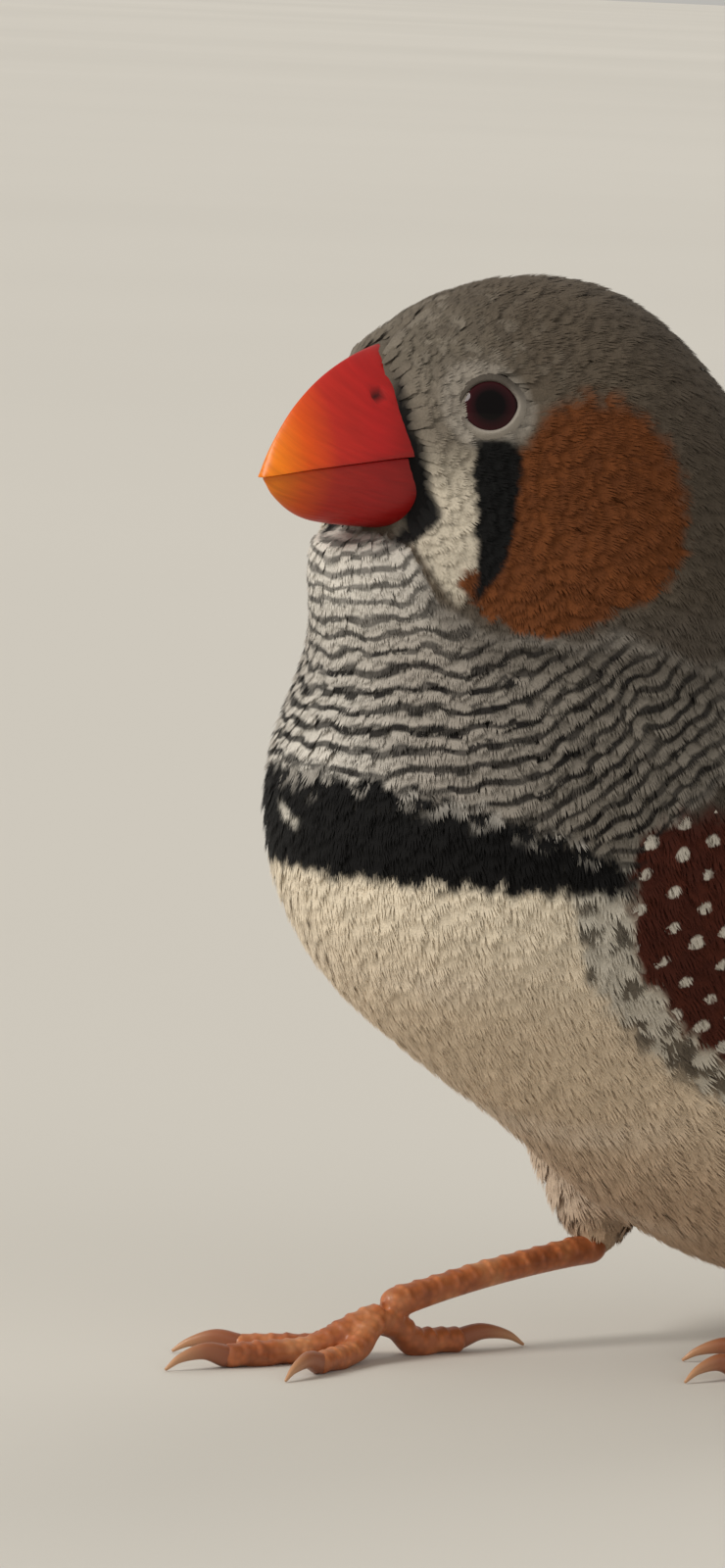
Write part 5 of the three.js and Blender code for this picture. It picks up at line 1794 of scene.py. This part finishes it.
def wing_shade_sheet():
    """A sheet under the tiers which closes the gaps between them, painted dark as the shade in those gaps."""
    y = np.repeat(np.linspace(-5.4, 29, ROWS), COLUMNS)
    share = np.tile(np.linspace(0, 1, COLUMNS), ROWS)
    points = wing_spot(y, between(level_at(WING_SHADE_SHEET_LOW, y), level_at(WING_SHADE_SHEET_HIGH, y), share), 0.7)
    # painted shade: the sheet's dark colour stands for the shade in the gaps
    return points, grid_faces(ROWS, COLUMNS), np.tile(paint("#2e2822"), (len(points), 1)), points * 0


def ends(tier, s):
    """Root and tip of the feather at share s of its row."""
    (root0, turn0), (root1, turn1) = tier["roots"]
    (tip0, fan0), (tip1, fan1) = tier["tips"]
    level = tier.get("level", 0)
    reach = max(0, s - level) / (1 - level)
    root = (between(root0, root1, s), between(turn0, turn1, s))
    return root, (between(tip0, tip1, reach), between(fan0, fan1, s))


for side, sign in (("left", 1), ("right", -1)):
    pick = np.random.default_rng(70 + sign)
    feathers = [wing_shade_sheet()]
    for number, tier in enumerate(TIERS):
        for i in range(tier["count"]):
            s = i / (tier["count"] - 1)
            root, tip = ends(tier, s)
            tip = (tip[0] + pick.uniform(-0.4, 0.4), tip[1] + pick.uniform(-0.6, 0.6))
            half = tier["half"] * pick.uniform(0.95, 1.05)
            sunk = 1 - 0.3 * max(0, 1 - 4 * s) * (number > 1)  # the lowest coverts hug the body
            feathers.append(wing_vane(root, tip, (tier["lift"][0] * sunk, tier["lift"][1] * sunk), half,
                                      *tier["tones"], 1000 * number + 10 * i + sign,
                                      low_share=tier["low_share"], tilt=0.17))
    bundle(f"wing_{side}_feathers", mirrored(feathers, sign), [f"wing_{side}"])

# %% [markdown]
# ## Shoulder feathers
# Soft scapulars hang from the back over the wing's upper edge and hide where the wing joins. They are broad
# body feathers, so they use the same vane with a duller colour and a loose edge. Each row has where its
# feathers start and end, how far they rise, the degrees from its lowest to its highest, and half a width.

# %% Scapulars
SCAPULAR_ROWS = [(8, 19, 1.7, 58, 80, 1.8), (3.5, 13.5, 1.65, 50, 74, 1.6), (0.5, 8.5, 1.55, 44, 64, 1.5),
                 (-2.6, 5, 1.3, 38, 52, 1.35)]
for side, sign in (("left", 1), ("right", -1)):
    pick = np.random.default_rng(90 + sign)
    feathers = []
    for row, (y0, y1, rise, low, high, half) in enumerate(SCAPULAR_ROWS):
        for i in range(6):
            s = i / 5
            degrees = between(low, high, s)
            root = (y0 + pick.uniform(-0.4, 0.4), degrees + 2)
            tip = (y1 + 1.4 * (s - 0.5) + pick.uniform(-0.5, 0.5), degrees - 1)
            lift = (0.2, rise * pick.uniform(0.85, 1.0))
            feathers.append(wing_vane(root, tip, lift, half * pick.uniform(0.92, 1.08), "#4b4239", "#5e554a",
                                      5000 + 100 * row + 10 * i + sign, tilt=0.1, low_share=1.0))
    bundle(f"scapulars_{side}", mirrored(feathers, sign))

# %% [markdown]
# ## Tail
# Twelve black-brown feathers lie in six pairs under one another. Long black coverts with broad white bars
# cover their roots from above, the male's most striking mark from behind, and buff-white ones from below.
# Every feather is a vane along the tail's own direction, and its place in the stack is a depth below it.

# %% Tail feathers
TAIL_ROOT = np.array([0, 31, 15.9])
TAIL_LENGTH = 37
DROOP = math.radians(12)
tail_back = np.array([0, math.cos(DROOP), -math.sin(DROOP)])
tail_up = np.array([0, math.sin(DROOP), math.cos(DROOP)])


def tail_vane(side, start, length, offset, spread, depth, sink, half, base, edge, seed, **more):
    """A tail feather beside the middle line; sink scales its depth at the tip."""
    t = np.linspace(0, 1, ROWS)
    place = (TAIL_ROOT + np.outer(between(start, start + length, t), tail_back)
             + np.outer(side * (offset + spread * t), (1, 0, 0))
             + np.outer(-depth * between(1, sink, t) - 0.5 * t ** 2, tail_up))
    across = np.tile((-side, 0, 0), (ROWS, 1)).astype(float)
    return vane(place, across, np.tile(tail_up, (ROWS, 1)), half, base, edge, seed, tilt=-0.1, **more)


feathers = []
for pair in range(6):
    length = TAIL_LENGTH - 0.75 * pair - (0.8 if pair == 0 else 0)
    for side in (-1, 1):
        feathers.append(tail_vane(side, 1.2, length, 0.35 + 0.28 * pair, 0.3 + 0.34 * pair,
                                  0.32 * pair - 0.3, 1, 2.25, "#1c1817", "#3a332d",
                                  300 + 2 * pair + side, camber=0.06))
print(len(feathers), "tail feathers")

# %% Tail coverts
UPPER_COVERTS = [(0.6, 20.5, 2.2, -1.2, 1.3), (0.6, 20.8, 0.8, -1.45, 1.3), (-0.6, 17.2, 2.6, -1.7, 1.3),
                 (-0.6, 16.6, 1.1, -2.0, 1.3), (-1.6, 13.6, 1.9, -2.3, 1.25), (-1.8, 13.0, 0.5, -2.5, 1.2),
                 (-2.4, 10.2, 1.5, -2.75, 1.2)]
LOWER_COVERTS = [(0.6, 14.5, 1.5, 2.1, 1.7), (0.6, 13.5, 0.6, 2.4, 1.6), (-1, 11, 1.8, 2.7, 1.6),
                 (-1, 10, 0.8, 2.9, 1.5), (-2.4, 8, 1.5, 3.1, 1.5), (-2.4, 7.5, 0.5, 3.2, 1.4)]
BAR_LENGTH = 4.6


def coverts(rows, base, edge, seed, camber, barred=False):
    """Pairs of coverts, each with its start, length, distance from the middle, depth and half width."""
    for row, (start, length, offset, depth, half) in enumerate(rows):
        bars = (BAR_LENGTH, 0.12 + 0.5 * (row % 2), "#d4cfc4") if barred else None
        for side in (-1, 1):
            feathers.append(tail_vane(side, start, length, offset, 0.2, depth, 0.4, half, base, edge,
                                      seed + 2 * row + side, bars=bars, camber=camber))


coverts(UPPER_COVERTS, "#100f0f", "#1b1918", 400, 0.12, barred=True)
coverts(LOWER_COVERTS, "#b5a68c", "#c4b8a2", 500, -0.1)
bundle("tail_feathers", feathers, ["tail"])

# %% [markdown]
# ## Floor and light
# The floor is board under flat pale paint, rolled on: matt, with broad faint clouds about a metre wide, 40
# across the floor. One large soft lamp ahead and above stands for a window, a weaker one at the side opens
# the shadows, one from behind draws the back's edge, and a pale room fills the rest.

# %% Floor
painted_board = new_material("pale painted board")
mottle = add_node(painted_board, "ShaderNodeTexNoise", {"Scale": 40.0, "Detail": 5.0})
board = ramp(painted_board, mottle.outputs["Fac"], [(0.3, paint("#c9c5bd")), (0.7, paint("#d0ccc4"))])
board_relief = add_node(painted_board, "ShaderNodeBump", {"Strength": 0.05, "Distance": 0.0005},
                        Height=mottle.outputs["Fac"])
surface(painted_board, {"Roughness": 0.75}, Base_Color=board, Normal=board_relief.outputs["Normal"])
print("board nodes:", len(painted_board.node_tree.nodes))

FLOOR_RADIUS = 20.0  # metres, so that its edge is never in view
disc = bmesh.new()
bmesh.ops.create_circle(disc, cap_ends=True, segments=96, radius=FLOOR_RADIUS)
floor_mesh = bpy.data.meshes.new("floor")
disc.to_mesh(floor_mesh)
disc.free()
floor_mesh.materials.append(painted_board)
floor = bpy.data.objects.new("floor", floor_mesh)
bpy.context.scene.collection.objects.link(floor)
floor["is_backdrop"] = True


# %% Lamps
def lamp(name, azimuth, elevation, strength, softness, tint, mirrored=False):
    """A far lamp from a direction round the bird. Softness is its width in degrees."""
    data = bpy.data.lights.new(name, "SUN")
    data.angle = math.radians(softness)
    data.energy = strength
    data.color = tint
    piece = bpy.data.objects.new(name, data)
    piece.visible_glossy = mirrored
    bpy.context.scene.collection.objects.link(piece)
    a, e = math.radians(azimuth), math.radians(elevation)
    away = Vector((math.sin(a) * math.cos(e), -math.cos(a) * math.cos(e), math.sin(e)))
    piece.location = away
    piece.rotation_euler = away.to_track_quat("Z", "Y").to_euler()


lamp("window", -2, 34, 2.2, 22, (1.0, 0.97, 0.92), mirrored=True)
lamp("fill", 110, 25, 0.36, 40, (0.93, 0.96, 1.0))
lamp("rim", 215, 40, 0.55, 30, (1.0, 0.98, 0.95))
world = bpy.data.worlds.new("pale room")
world.use_nodes = True
world.node_tree.nodes["Background"].inputs["Color"].default_value = (*paint("#cfccc6"), 1)
world.node_tree.nodes["Background"].inputs["Strength"].default_value = 0.78
bpy.context.scene.world = world
bpy.context.scene.view_settings.view_transform = "Standard"
print("three lamps and a pale room")

# %% [markdown]
# ## Sizes
# The coat may not outgrow the solids, so both boxes are printed, in millimetres.

# %% Sizes
shown_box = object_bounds()
for name, box in (("CAD", cad_box), ("shown", shown_box)):
    print(name, [[round(v / MM, 2) for v in corner] for corner in box])
